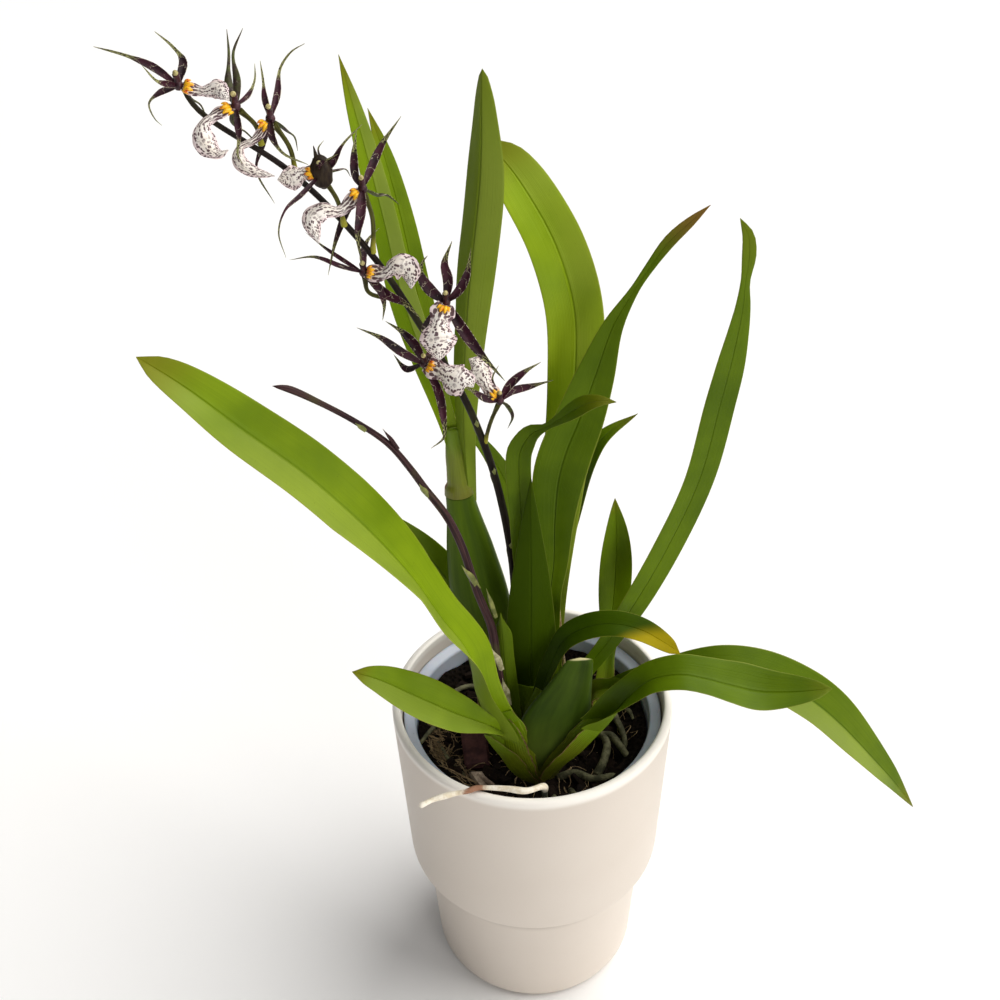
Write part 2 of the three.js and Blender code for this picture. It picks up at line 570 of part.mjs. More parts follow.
// Blooms: the place of the column, then petals and lip as points from there.
// Inside a bloom X is to the right, Y up the flower's face and Z out of it.
const BLOOMS = [
  {
    at: [-115, -30, 489],
    petals: [
      { points: [[-7, 5, 3], [-14, 8, 5], [-27, 13, 2]], half: 2.2 },
      { points: [[1, 9, -3], [-3, 15, -5], [-8, 19, -2]], half: 2.5 },
      { points: [[-5, -1, 8], [-8, 2, 14]], half: 1.8 },
      { points: [[-8, 0, -6], [-13, -2, -11], [-12, -6, -14], [-10, -8, -15]], half: 1.7 },
      { points: [[1, -1, -9], [3, -1, -17], [4, -5, -22]], half: 1.8 },
    ],
    lip: [[8, -2, 1], [13, -2, 3], [16, -5, 4], [17, -6, 2]],
    lipHalf: 3.2,
  },
  {
    at: [-97, -31, 482],
    foot: [-91, -27, 467],
    bow: [-92, -27, 474],
    petals: [
      { points: [[-3, 8, -3], [-3, 20, -5], [-3, 27, -3]], half: 2.5 },
      { points: [[1, 8, 3], [1, 15, 7], [5, 22, 10]], half: 2.2 },
      { points: [[-3, -3, -8], [0, -4, -15], [4, -8, -19]], half: 1.8 },
      { points: [[1, -10, 1], [1, -17, 4], [3, -21, 7]], half: 2 },
      { points: [[2, 6, -9], [3, 15, -18], [2, 23, -24]], half: 1.8 },
    ],
    lip: [[-7, -4, 4], [-10, -8, 6], [-8, -15, 8], [-4, -18, 9], [-1, -17, 9]],
    lipHalf: 3.4,
    lipStart: 2.4,
  },
  {
    at: [-87, -26, 476],
    foot: [-81, -25, 456],
    bow: [-82, -24, 465],
    petals: [
      { points: [[-1, 6, 4], [-1, 11, 6], [-2, 18, 5]], half: 1.8 },
      { points: [[2, 9, -3], [3, 19, -5], [7, 24, -4], [12, 26, -2]], half: 2 },
      { points: [[2, -9, 7], [6, -15, 10], [14, -19, 11]], half: 2.2 },
      { points: [[-5, -6, -10], [-8, -13, -14], [-2, -25, -14]], half: 1.8 },
      { points: [[3, -1, -9], [5, -1, -18], [5, -4, -24]], half: 1.8 },
    ],
    lip: [[-5, -7, 2], [-10, -10, 3], [-10, -15, 5], [-5, -19, 6], [2, -21, 6]],
    lipHalf: 2.8,
  },
  {
    at: [-71, -34, 459],
    foot: [-66, -24, 436],
    bow: [-67, -29, 448],
    petals: [
      { points: [[4, 3, 1], [8, 9, 3], [15, 16, 3]], half: 1.8 },
      { points: [[0, 2, 4], [7, 5, 7]], half: 1.5 },
      { points: [[-6, -8, 5], [-11, -14, 9], [-13, -22, 11], [-11, -30, 10]], half: 1.5 },
      { points: [[5, 3, -6], [7, 5, -12], [8, 4, -18]], half: 1.5 },
      { points: [[-1, 7, -8], [-3, 14, -17], [-2, 19, -24]], half: 1.5 },
    ],
    lip: [[-5, 1, 0], [-9, 0, 0], [-15, -1, -1]],
    lipHalf: 4.5,
    lipStart: 2.25,
  },
  {
    at: [-58, -27, 451],
    foot: [-57, -22, 424],
    bow: [-56, -22, 438],
    petals: [
      { points: [[-2, 4, 3], [-2, 11, 5], [-1, 19, 5]], half: 1.9 },
      { points: [[3, 8, -3], [7, 17, -5], [14, 26, -3]], half: 2 },
      { points: [[0, -11, 8], [-1, -19, 10], [0, -28, 9]], half: 2.3 },
      { points: [[-7, -4, -13], [-12, -14, -17], [-15, -27, -15]], half: 1.8 },
      { points: [[4, 0, -10], [7, 2, -18], [11, 0, -24]], half: 1.8 },
    ],
    lip: [[-8, -8, 3], [-13, -8, 5], [-17, -11, 6], [-15, -20, 6]],
    lipHalf: 3,
  },
  {
    at: [-61, -22, 417],
    foot: [-48, -19, 404],
    bow: [-60, -18, 407],
    petals: [
      { points: [[-8, 2, 4], [-17, 5, 7], [-26, 4, 8]], half: 2 },
      { points: [[-7, 5, -3], [-15, 11, -5], [-22, 17, -6]], half: 2 },
      { points: [[5, -5, 1], [7, -11, -2], [6, -17, -5]], half: 1.8 },
      { points: [[8, -8, -1], [15, -12, 1], [21, -18, 3]], half: 2.3 },
      { points: [[-1, 9, -10], [0, 16, -18], [4, 22, -24]], half: 1.8 },
    ],
    lip: [[8, -1, 6], [12, 1, 9], [17, -1, 10], [18, -8, 9]],
    lipHalf: 4,
    lipStart: 4,
  },
  {
    at: [-31, -26, 406],
    foot: [-38, -15, 384],
    bow: [-34, -18, 394],
    petals: [
      { points: [[-6, 5, 2], [-9, 10, 5], [-8, 14, 7], [-6, 16, 8]], half: 2.8 },
      { points: [[1, 8, 1], [0, 14, 3], [3, 22, 4]], half: 2.5 },
      { points: [[5, 4, 2], [8, 9, 4], [10, 19, 5]], half: 2.2 },
      { points: [[5, -9, 1], [11, -18, 2], [21, -30, 2]], half: 2.8 },
      { points: [[-6, -6, -4], [-9, -9, -8], [-9, -14, -12]], half: 2.5 },
    ],
    lip: [[-2, -6, 4], [-3, -12, 6], [-3, -17, 6], [-3, -22, 4]],
    lipHalf: 7.5,
    lipStart: 3.85,
  },
  {
    at: [-41, -22, 378],
    foot: [-31, -12, 366],
    bow: [-37, -16, 370],
    petals: [
      { points: [[-9, 5, 3], [-16, 10, 6], [-25, 14, 7]], half: 2.2 },
      { points: [[-3, 7, -3], [-8, 13, -5], [-15, 18, -5]], half: 2.5 },
      { points: [[-7, -1, -7], [-13, 6, -14]], half: 1.8 },
      { points: [[5, -10, 0], [7, -21, 3], [7, -29, 5], [2, -33, 6]], half: 2.3 },
      { points: [[2, 5, -10], [5, 8, -18], [6, 14, -24]], half: 2 },
    ],
    lip: [[8, -4, 6], [13, -7, 8], [17, -8, 8], [19, -10, 6]],
    lipHalf: 6.5,
  },
  {
    at: [-12, -16, 357],
    foot: [-19, -2, 328],
    bow: [-16, -9, 343],
    petals: [
      { points: [[4, 6, 2], [10, 11, 3], [17, 15, 2]], half: 2.2 },
      { points: [[5, 4, -3], [13, 6, -4], [22, 8, -2]], half: 2.1 },
      { points: [[-6, 1, 4], [-11, 4, 6], [-15, 6, 7]], half: 2 },
      { points: [[3, -2, -8], [5, -6, -16], [3, -10, -20]], half: 1.8 },
      { points: [[-2, 5, -10], [-3, 11, -19], [0, 17, -24]], half: 1.8 },
    ],
    lip: [[-5, 6, 3], [-7, 11, 4], [-9, 15, 4], [-12, 17, 3]],
    lipHalf: 5.5,
  },
];

// A petal's face looks along the flower's Z, tipped so that it is never end on.
function petalFaces(points) {
  const last = vec(points[points.length - 1]).normalize();
  const face = new THREE.Vector3(0, 0, 1).addScaledVector(last, -last.z);
  if (face.length() < 0.5) face.set(0.3, 1, 0);
  return [face.toArray(), face.toArray()];
}

function makePetal({ points, half }) {
  const start = vec(points[0]).normalize().multiplyScalar(CORE_RADIUS * 0.5);
  return blade({
    points: [start.toArray(), ...points],
    faces: petalFaces(points),
    shape: { base: half * 0.45, full: half, peak: 0.35, tip: 0.5, blunt: 1.1 },
    fold: 18,
    thick: PETAL_THICKNESS,
    along: 5,
  });
}

function makeBloom({ petals }) {
  const core = new THREE.IcosahedronGeometry(CORE_RADIUS, 0);
  const column = new THREE.CylinderGeometry(1, 1.2, 4, 5);
  column.rotateX(Math.PI / 3);
  column.translate(0, 1.2, 1.8);
  return fuse([core, column, ...petals.map(makePetal)]);
}

function makeLip({ lip, lipHalf, lipStart = LIP_START }) {
  const start = vec(lip[0]).normalize().multiplyScalar(lipStart);
  const points = [start.toArray(), ...lip];
  const sheet = blade({
    points,
    faces: petalFaces(lip),
    shape: { base: 1.4, full: lipHalf, peak: 0.62, tip: 0.8, blunt: 2.2 },
    fold: -14,
    thick: PETAL_THICKNESS,
    along: 6,
  });
  const callus = new THREE.IcosahedronGeometry(1.5, 0);
  const middle = start.clone().addScaledVector(vec(lip[0]).normalize(), 1.6);
  callus.translate(middle.x, middle.y, middle.z + 0.5);
  return fuse([sheet, callus]);
}

// A flower stalk from the spike to just short of the bloom's core.
function makePedicel({ at, foot, bow }) {
  const end = vec(at);
  const start = vec(foot);
  const bend = vec(bow);
  const inward = bend.clone().sub(end).normalize();
  const tip = end.clone().addScaledVector(inward, CORE_RADIUS + CLEARANCE);
  const points = [start.toArray(), bend.toArray(), tip.toArray()];
  return stem(points, PEDICEL_BASE_RADIUS, PEDICEL_TIP_RADIUS, 3, 5);
}

function spikeJoint(points, t, radius, length) {
  const curve = curveThrough(points);
  const from = curve.getPointAt(t);
  const to = curve.getPointAt(Math.min(1, t + length));
  return stem([from.toArray(), to.toArray()], radius, radius * 0.8, 1, 5);
}

function makeSpike() {
  const main = rod({
    points: SPIKE_POINTS,
    faces: FRONT,
    wide: (t) => mix(2.3, 0.9, t),
    sides: 6,
    steps: 22,
  });
  const joints = [0.3, 0.42, 0.5, 0.58].map((t) => spikeJoint(SPIKE_POINTS, t, 2.7 - t, 0.02));
  const stalks = BLOOMS.filter((bloom) => bloom.foot).map(makePedicel);
  const post = socketPost(SOCKETS.spike, SOCKET_FLOOR_Z + CLEARANCE, MIX_TOP_Z + 2, 0, 8);
  return fuse([post, main, ...joints, ...stalks]);
}

// Bud spike: a shorter bare spike with green bracts at its joints

const BUD_SPIKE_POINTS = [
  [-13, -19, 150], [-13, -18, 186], [-17, -10, 228], [-25, -6, 259], [-34, -6, 289], [-55, -12, 333],
  [-82, -19, 360], [-101, -23, 371],
];

function makeBudSpike() {
  const main = rod({
    points: BUD_SPIKE_POINTS,
    faces: FRONT,
    wide: (t) => mix(2.6, 1, t),
    sides: 6,
    steps: 14,
  });
  const curve = curveThrough(BUD_SPIKE_POINTS);
  const bracts = [0.2, 0.32, 0.42, 0.58, 0.72, 0.86].map((t) => {
    const from = curve.getPointAt(t);
    const to = curve.getPointAt(t + 0.035).add(new THREE.Vector3(1.2, -1.6, 0.6));
    return stem([from.toArray(), to.toArray()], 3 - t, 0.7, 1, 4);
  });
  const post = socketPost(SOCKETS.budSpike, SOCKET_FLOOR_Z + CLEARANCE, MIX_TOP_Z + 2, 0, 8);
  return fuse([post, main, ...bracts]);
}

// One pale root that creeps out over the pot's rim, and a pair of dry straws

const RIM_ROOT_POINTS = [
  [5, -42, 154], [1, -50, 165], [-8, -62, 177], [-20, -64.5, 179], [-31, -64.5, 179], [-42, -67, 179],
  [-53, -72, 179.5],
];

function makeRimRoot() {
  return stem(RIM_ROOT_POINTS, 1.9, 1.5, 14);
}

function makeStraws() {
  const { x, y } = SOCKETS.straw;
  const tall = stem([[x, y, 149], [23.5, 9.5, 190], [20, 9, 230]], 0.8, 0.6, 5, 5);
  const post = socketPost(SOCKETS.straw, SOCKET_FLOOR_Z + CLEARANCE, MIX_TOP_Z + 2, 0, 8);
  return fuse([post, tall]);
}

// The whole plant

addPiece('pot', makePot(), POT_CREAM);
addPiece('liner', makeLiner(), LINER_FROST);
addPiece('potting_mix', makeMix(), BARK_DARK);
addPiece('growth_front', makeFrontGrowth(), BULB_GREEN);
addPiece('growth_back', makeBackGrowth(), BULB_GREEN);
addPiece('growth_centre', makeSheathGrowth('centre'), BULB_GREEN);
addPiece('growth_right', makeSheathGrowth('right'), BULB_GREEN);
for (const [name, leaf] of Object.entries(LEAVES)) addPiece(name, closed(makeLeaf(leaf)), LEAF_GREEN);
addPiece('spike_flowering', makeSpike(), STEM_DARK);
addPiece('spike_budding', makeBudSpike(), STEM_DARK);
addPiece('rim_root', closed(makeRimRoot()), ROOT_PALE);
addPiece('dry_straw', makeStraws(), STRAW);

BLOOMS.forEach((bloom, k) => {
  const flower = new THREE.Group();
  flower.position.set(...bloom.at);
  flower.rotation.x = THREE.MathUtils.degToRad(BLOOM_LEAN_DEGREES);
  orchid.add(flower);
  addPiece(`bloom_${k + 1}`, makeBloom(bloom), TEPAL_DARK, flower);
  addPiece(`lip_${k + 1}`, makeLip(bloom), LIP_WHITE, flower);
});

export default orchid;
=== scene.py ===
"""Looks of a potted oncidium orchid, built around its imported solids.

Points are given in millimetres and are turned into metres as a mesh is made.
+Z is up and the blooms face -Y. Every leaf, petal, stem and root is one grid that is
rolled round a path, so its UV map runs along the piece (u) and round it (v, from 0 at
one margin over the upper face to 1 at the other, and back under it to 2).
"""
import math
import random

import bmesh
import bpy
from mathutils import Matrix, Vector, noise


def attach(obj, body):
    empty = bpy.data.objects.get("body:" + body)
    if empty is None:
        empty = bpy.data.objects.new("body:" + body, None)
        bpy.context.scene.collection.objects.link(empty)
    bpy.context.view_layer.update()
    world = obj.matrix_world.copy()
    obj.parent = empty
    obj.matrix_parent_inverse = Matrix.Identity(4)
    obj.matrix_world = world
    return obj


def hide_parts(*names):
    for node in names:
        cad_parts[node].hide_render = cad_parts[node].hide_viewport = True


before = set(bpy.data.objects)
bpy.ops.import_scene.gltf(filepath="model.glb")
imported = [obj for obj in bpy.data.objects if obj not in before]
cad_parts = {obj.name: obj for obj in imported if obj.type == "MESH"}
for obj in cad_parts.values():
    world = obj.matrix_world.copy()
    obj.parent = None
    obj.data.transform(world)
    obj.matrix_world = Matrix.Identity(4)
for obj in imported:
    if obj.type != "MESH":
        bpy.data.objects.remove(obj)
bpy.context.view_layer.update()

MM = 0.001
SEAM = 1e-7
SHARP_ANGLE = math.radians(50)
rng = random.Random(20261)

# Paths: steps between two points, and the shares of a path that matter near a place or an end

CURVE_STEPS = 16
LOOK_AHEAD = 0.012
ROUND_END = 0.02
KEEL_SOFTNESS = 0.012
THINNEST_HALF = 0.02

# Sizes of the pot and what stands in it, in millimetres

POT_RIM_RADIUS = 70
POT_HEIGHT = 177
POT_WALL = 3
POT_RIM_WALL = 4.4
POT_STEP_Z = 79
POT_STEP_RADIUS = 66.4
POT_FOOT_TOP_RADIUS = 58
POT_FOOT_RADIUS = 54.5
LINER_RIM_Z = 168
LINER_FLANGE_RADIUS = 64.7
LINER_MOUTH_RADIUS = 59
LINER_BASE_RADIUS = 56
LINER_FLOOR_Z = POT_STEP_Z + POT_WALL + 0.35
LINER_WALL = 1.2
MIX_TOP_Z = 150
MIX_RADIUS = 57.5
BLOOM_LEAN = math.radians(54.7)


def smooth(value, low=0.0, high=1.0):
    share = min(1.0, max(0.0, (value - low) / (high - low)))
    return share * share * (3 - 2 * share)


def mix(first, second, share):
    return first + (second - first) * share


def stops(*pairs):
    """A smooth curve of one number through (t, value) pairs."""

    def value(t):
        for (t0, v0), (t1, v1) in zip(pairs, pairs[1:]):
            if t <= t1:
                return mix(v0, v1, smooth(t, t0, t1))
        return pairs[-1][1]

    return value


def outline(*pairs):
    """A half width along a blade through (t, width) pairs, with no flats at the pairs."""

    def value(t):
        index = 0
        while index < len(pairs) - 2 and t > pairs[index + 1][0]:
            index += 1
        (start, first), (end, second) = pairs[index], pairs[index + 1]
        before = pairs[max(index - 1, 0)]
        after = pairs[min(index + 2, len(pairs) - 1)]
        span = end - start
        share = min(max((t - start) / span, 0), 1)
        slope_in = (second - before[1]) / (end - before[0]) * span
        slope_out = (after[1] - first) / (after[0] - start) * span
        bulge = share * (1 - share) * ((1 - share) * slope_in - share * slope_out)
        return max(mix(first, second, smooth(share)) + bulge, THINNEST_HALF)

    return value


# Paths and the grids rolled round them


class Path:
    """A smooth curve through given points, walked by its length."""

    def __init__(self, points):
        knots = [Vector(p) for p in points]
        knots = [2 * knots[0] - knots[1], *knots, 2 * knots[-1] - knots[-2]]
        self.places = [knots[1]]
        for a, b, c, d in zip(knots, knots[1:], knots[2:], knots[3:]):
            before, across, after = (math.sqrt((q - p).length) for p, q in ((a, b), (b, c), (c, d)))
            leave = ((b - a) / before - (c - a) / (before + across) + (c - b) / across) * across
            reach = ((c - b) / across - (d - b) / (across + after) + (d - c) / after) * across
            for k in range(1, CURVE_STEPS + 1):
                w = k / CURVE_STEPS
                bend = (3 * (c - b) - 2 * leave - reach) * w * w
                turn = (leave + reach - 2 * (c - b)) * w**3
                self.places.append(b + leave * w + bend + turn)
        self.lengths = [0.0]
        for p, q in zip(self.places, self.places[1:]):
            self.lengths.append(self.lengths[-1] + (q - p).length)
        self.length = self.lengths[-1]

    def place(self, t):
        reach = min(1.0, max(0.0, t)) * self.length
        k = 1
        while k < len(self.lengths) - 1 and self.lengths[k] < reach:
            k += 1
        low, high = self.lengths[k - 1], self.lengths[k]
        return self.places[k - 1].lerp(self.places[k], (reach - low) / (high - low))

    def along(self, t):
        return (self.place(t + LOOK_AHEAD) - self.place(t - LOOK_AHEAD)).normalized()


def station(path, faces, t):
    """Place, side direction and face direction at one station of a path."""
    along = path.along(t)
    slot = t * (len(faces) - 1)
    first = min(int(slot), len(faces) - 2)
    face = Vector(faces[first]).lerp(Vector(faces[first + 1]), slot - first)
    face = (face - along * face.dot(along)).normalized()
    return path.place(t), along.cross(face), face


def facing(*way):
    """One way to look along a whole path."""
    return [way, way]


FRONT = facing(0, -1, 0.1)


def rolled(bm, path, faces, section, rows, columns, finish):
    """Rolls a grid round a path. section(t, angle) gives how far across and out of the face."""
    uv = bm.loops.layers.uv.get("UVMap") or bm.loops.layers.uv.new("UVMap")
    made = bmesh.ops.create_grid(bm, x_segments=rows, y_segments=columns, size=0.5)["verts"]
    for face in {f for v in made for f in v.link_faces}:
        face.material_index = finish
        face.smooth = True
        for loop in face.loops:
            loop[uv].uv = (loop.vert.co.x + 0.5, 2 * loop.vert.co.y + 1)
    stations = {}
    for vert in made:
        t = vert.co.x + 0.5
        if t not in stations:
            stations[t] = station(path, faces, t)
        place, side, face = stations[t]
        across, out = section(t, math.pi * (2 * vert.co.y + 1))
        vert.co = (place + side * across + face * out) * MM
    bmesh.ops.remove_doubles(bm, verts=made, dist=SEAM)
    rims = [e for e in bm.edges if e.is_boundary]
    if rims:
        for face in bmesh.ops.holes_fill(bm, edges=rims, sides=0)["faces"]:
            face.material_index = finish


def blade(bm, path, faces, half, fold, thick, rows, columns, finish=0, wave=0.0, waves=3.0):
    """A thin leaf or petal: half and fold are functions of t, in millimetres and degrees."""

    def section(t, angle):
        s = math.cos(angle)
        width = half(t)
        crease = math.radians(fold(t))
        rise = math.sqrt(s * s + KEEL_SOFTNESS) - math.sqrt(KEEL_SOFTNESS)
        ripple = wave * abs(s) ** 2.5 * math.sin(2 * math.pi * waves * t + 1.3 * math.copysign(1, s))
        skin = 0.5 * thick * abs(math.sin(angle)) ** 0.6 * min(1.0, width / thick)
        out = width * (rise * math.sin(crease) + ripple) + math.copysign(skin, math.sin(angle))
        return s * width * math.cos(crease), out

    rolled(bm, path, faces, section, rows, columns, finish)


def end_share(t):
    """Share of a stem's girth at t, which falls to nothing in a round at each end."""
    return math.prod(math.sqrt(1 - (1 - min(1.0, reach / ROUND_END)) ** 2) for reach in (t, 1 - t))


def rod(bm, path, faces, wide, thin, rows, columns, finish=0):
    """A stem with rounded ends: wide and thin are its radii, and a round one has None for thin."""
    thin = thin or wide

    def section(t, angle):
        end = end_share(t)
        return wide(t) * math.cos(angle) * end, thin(t) * math.sin(angle) * end

    rolled(bm, path, faces, section, rows, columns, finish)


def piece(name, bm, slot, node, *finishes):
    """Makes an object of a bmesh that stands for the named solid, or for none."""
    bmesh.ops.recalc_face_normals(bm, faces=bm.faces)
    for edge in bm.edges:
        edge.smooth = len(edge.link_faces) != 2 or edge.calc_face_angle() < SHARP_ANGLE
    mesh = bpy.data.meshes.new(name)
    bm.to_mesh(mesh)
    bm.free()
    for finish in finishes:
        mesh.materials.append(finish)
    made = bpy.data.objects.new(name, mesh)
    bpy.context.scene.collection.objects.link(made)
    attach(made, "root")
    if node:
        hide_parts(node)


# Shader maths


class Number:
    """One socket of a material, with the sums that a pattern needs."""

    def __init__(self, finish, socket):
        self.finish = finish
        self.socket = socket

    def __add__(self, other):
        return self.finish.sum("ADD", self, other)

    def __sub__(self, other):
        return self.finish.sum("SUBTRACT", self, other)

    def __mul__(self, other):
        return self.finish.sum("MULTIPLY", self, other)

    def __rsub__(self, other):
        return self.finish.sum("SUBTRACT", other, self)

    __radd__ = __add__
    __rmul__ = __mul__

    def above(self, edge, soft=0.02):
        """0 below an edge and 1 above it, softly."""
        limits = {"From Min": edge - soft, "From Max": edge + soft}
        settings = {"interpolation_type": "SMOOTHSTEP", "clamp": True}
        return self.finish.add("ShaderNodeMapRange", settings, {"Value": self, **limits}, "Result")

    def below(self, edge, soft=0.02):
        return 1 - self.above(edge, soft)


class Finish:
    """A procedural material, built up node by node."""

    def __init__(self, name, roughness=0.5, **constants):
        self.material = bpy.data.materials.new(name)
        self.material.use_nodes = True
        self.tree = self.material.node_tree
        self.shader = self.tree.nodes["Principled BSDF"]
        self.shader.inputs["Roughness"].default_value = roughness
        for socket, value in constants.items():
            self.shader.inputs[socket.replace("_", " ")].default_value = value

    def add(self, kind, settings=None, inputs=None, output=0):
        """Adds a node: its settings, then its inputs, and gives one of its outputs."""
        node = self.tree.nodes.new(kind)
        for name, value in (settings or {}).items():
            setattr(node, name, value)
        for name, value in (inputs or {}).items():
            if isinstance(value, Number):
                self.tree.links.new(value.socket, node.inputs[name])
            else:
                node.inputs[name].default_value = value
        return Number(self, node.outputs[output])

    def sum(self, operation, *values):
        return self.add("ShaderNodeMath", {"operation": operation}, dict(enumerate(values)))

    def blend(self, share, first, second):
        """A colour between two colours."""
        values = {0: share, 6: first, 7: second}
        return self.add("ShaderNodeMix", {"data_type": "RGBA"}, values, 2)

    def parts(self, vector):
        """The x, y and z of a vector."""
        first = self.add("ShaderNodeSeparateXYZ", inputs={0: vector})
        return [Number(self, socket) for socket in first.socket.node.outputs]

    def uv(self):
        return self.parts(self.add("ShaderNodeUVMap", {"uv_map": "UVMap"}))[:2]

    def skin(self):
        """Where a point lies on a blade: along it, round it, across it, and how near a margin."""
        u, v = self.uv()
        across = self.sum("COSINE", v * math.pi)
        return u, v, across, self.sum("ABSOLUTE", across)

    def place(self):
        return self.add("ShaderNodeTexCoord", output="Object")

    def height(self, place):
        return self.parts(place)[2]

    def vector(self, x, y):
        return self.add("ShaderNodeCombineXYZ", inputs={0: x, 1: y})

    def noise(self, vector, scale, detail=3.0, roughness=0.55):
        values = {"Vector": vector, "Scale": scale, "Detail": detail, "Roughness": roughness}
        return self.add("ShaderNodeTexNoise", inputs=values)

    def cells(self, vector, scale):
        return self.add("ShaderNodeTexVoronoi", inputs={"Vector": vector, "Scale": scale})

    def color(self, value):
        self.tree.links.new(value.socket, self.shader.inputs["Base Color"])

    def roughness(self, value):
        self.tree.links.new(value.socket, self.shader.inputs["Roughness"])

    def bump(self, height, distance, strength=1.0):
        values = {"Height": height, "Distance": distance, "Strength": strength}
        normal = self.add("ShaderNodeBump", None, values)
        self.tree.links.new(normal.socket, self.shader.inputs["Normal"])


def tone(red, green, blue):
    """A colour given as it looks on a screen, from 0 to 255."""
    shares = [c / 255 for c in (red, green, blue)]
    return (*(c / 12.92 if c <= 0.04045 else ((c + 0.055) / 1.055) ** 2.4 for c in shares), 1.0)


# Finishes of the plant


LEAF_GLOSS = 0.42


def leaf_finish(
    name, dark, light, under, tip, tip_start=0.94, speckle=0.0, painted_sheen_half=0, slant=0.0, shine=0.1
):
    """Leaf: parallel veins, a grooved midrib darkened with painted shade, margins lightened with a painted
    highlight, a dull underside and a worn tip.

    A painted sheen lightens one half by the share its argument gives, the left half when below 0; slant tilts
    the edge of the worn tip.
    """
    made = Finish(name, LEAF_GLOSS, Specular_IOR_Level=shine)
    u, v, s, reach = made.skin()
    place = made.place()
    cloud = made.noise(place, 22.0, 3.0)
    grain = made.noise(made.vector(u * 3.0, s * 14.0), 1.0, 4.0, 0.6)
    vein = made.sum("SINE", s * 120.0 + grain * 9.0) * 0.5 + 0.5
    color = made.blend(cloud.above(0.5, 0.2), dark, light)
    color = made.blend(vein * grain.above(0.4, 0.15) * 0.2, color, light)
    color = made.blend(grain.above(0.55, 0.14) * 0.3, color, dark)
    # Painted sheen: one half is lightened in soft whitish-green patches.
    if painted_sheen_half:
        side = (s * math.copysign(1, painted_sheen_half)).above(0.04, 0.05)
        painted_sheen_share = side * made.noise(place, 13.0, 2.0).above(0.4, 0.2) * abs(painted_sheen_half)
        color = made.blend(painted_sheen_share, color, tone(164, 176, 84))
    # Painted shade: the midrib crease is darkened.
    color = made.blend(reach.below(0.03, 0.03) * 0.35, color, dark)
    # Painted highlight: the margins are lightened.
    color = made.blend(reach.above(0.975, 0.02) * 0.55, color, tone(150, 152, 60))
    worn = (u + s * slant + cloud * 0.08).above(tip_start + 0.04, 0.06)
    color = made.blend(worn, color, tip)
    back = v.above(1.0, 0.004)
    dull = made.blend(vein * 0.3, under, light)
    color = made.blend(back * 0.8, color, dull)
    specks = made.cells(place, 900.0).below(0.16, 0.03) * made.noise(place, 140.0).above(0.62, 0.05)
    color = made.blend(specks * (0.35 + speckle), color, tone(52, 40, 16))
    made.color(color)
    made.roughness(LEAF_GLOSS + back * 0.12 + (cloud - 0.5) * 0.16)
    groove = reach.below(0.03, 0.035) * -1.2
    made.bump(vein * 0.06 + grain * 0.3 + groove, 0.0006, 0.6)
    return made.material


FRESH_TONES = (tone(92, 118, 0), tone(122, 146, 12), tone(112, 130, 34), tone(116, 118, 12))
DEEP_TONES = (tone(68, 92, 0), tone(94, 116, 4), tone(82, 102, 14), tone(100, 104, 8))
FRESH = leaf_finish("leaf_fresh", *FRESH_TONES)
FRESH_SHEEN_LEFT = leaf_finish("leaf_fresh_painted_sheen_left", *FRESH_TONES, painted_sheen_half=-0.3)
FRESH_SHEEN_RIGHT = leaf_finish("leaf_fresh_painted_sheen_right", *FRESH_TONES, painted_sheen_half=0.4)
FRESH_SHEEN_EDGE = leaf_finish("leaf_fresh_painted_sheen_edge", *FRESH_TONES, painted_sheen_half=-0.85)
PALE = leaf_finish(
    "leaf_pale_painted_sheen", tone(118, 144, 4), tone(146, 168, 24), tone(126, 144, 44), tone(112, 116, 14), painted_sheen_half=0.3
)
MID = leaf_finish("leaf_mid", tone(70, 94, 0), tone(94, 118, 4), tone(90, 110, 18), tone(104, 118, 14))
BROWN_TIPPED = leaf_finish(
    "leaf_brown_tipped", tone(70, 94, 0), tone(94, 118, 4), tone(84, 104, 18), tone(128, 96, 40), 0.93
)
DEEP = leaf_finish("leaf_deep", *DEEP_TONES)
DEEP_SHEEN_RIGHT = leaf_finish("leaf_deep_painted_sheen_right", *DEEP_TONES, painted_sheen_half=0.3)
DARK = leaf_finish(
    "leaf_dark", tone(38, 58, 0), tone(58, 80, 0), tone(52, 70, 0), tone(62, 66, 2), shine=0.04
)
YELLOWED = leaf_finish(
    "leaf_yellowed", tone(36, 56, 0), tone(58, 80, 0), tone(88, 98, 8), tone(150, 134, 0),
    tip_start=0.8, speckle=0.7, slant=0.08, shine=0.05,
)


def bulb_finish(name, dark, light):
    """Bulb: long soft streaks from foot to shoulder and a waxy skin, with painted light on its lower part and
    a painted highlight along one edge.
    """
    made = Finish(name, 0.42, Specular_IOR_Level=0.08)
    u, v = made.uv()
    place = made.place()
    streak = made.noise(made.vector(u * 1.2, v * 4.0), 1.0, 4.0, 0.6)
    cloud = made.noise(place, 34.0)
    color = made.blend(streak.above(0.5, 0.2), dark, light)
    color = made.blend(cloud.above(0.6, 0.2) * 0.3, color, tone(76, 92, 20))
    # Painted light: the lower part is lightened against the shade between the sheaths.
    color = made.blend(u.below(0.42, 0.2) * 0.5, color, tone(108, 124, 50))
    color = made.blend(u.below(0.12, 0.12) * 0.6, color, tone(88, 74, 34))
    # Painted highlight: a light line along the upper part of one margin.
    edge = made.sum("COSINE", v * math.pi).above(0.985, 0.01) * u.above(0.4, 0.1)
    color = made.blend(edge * 0.8, color, tone(128, 148, 44))
    color = made.blend((u + cloud * 0.02).above(0.997, 0.004), color, tone(196, 190, 140))
    dots = made.cells(place, 700.0).below(0.14, 0.03) * cloud.above(0.5, 0.1)
    made.color(made.blend(dots * 0.4, color, tone(40, 32, 14)))
    made.roughness(0.38 + streak * 0.2)
    made.bump(streak + dots * -0.4, 0.0008, 0.2)
    return made.material


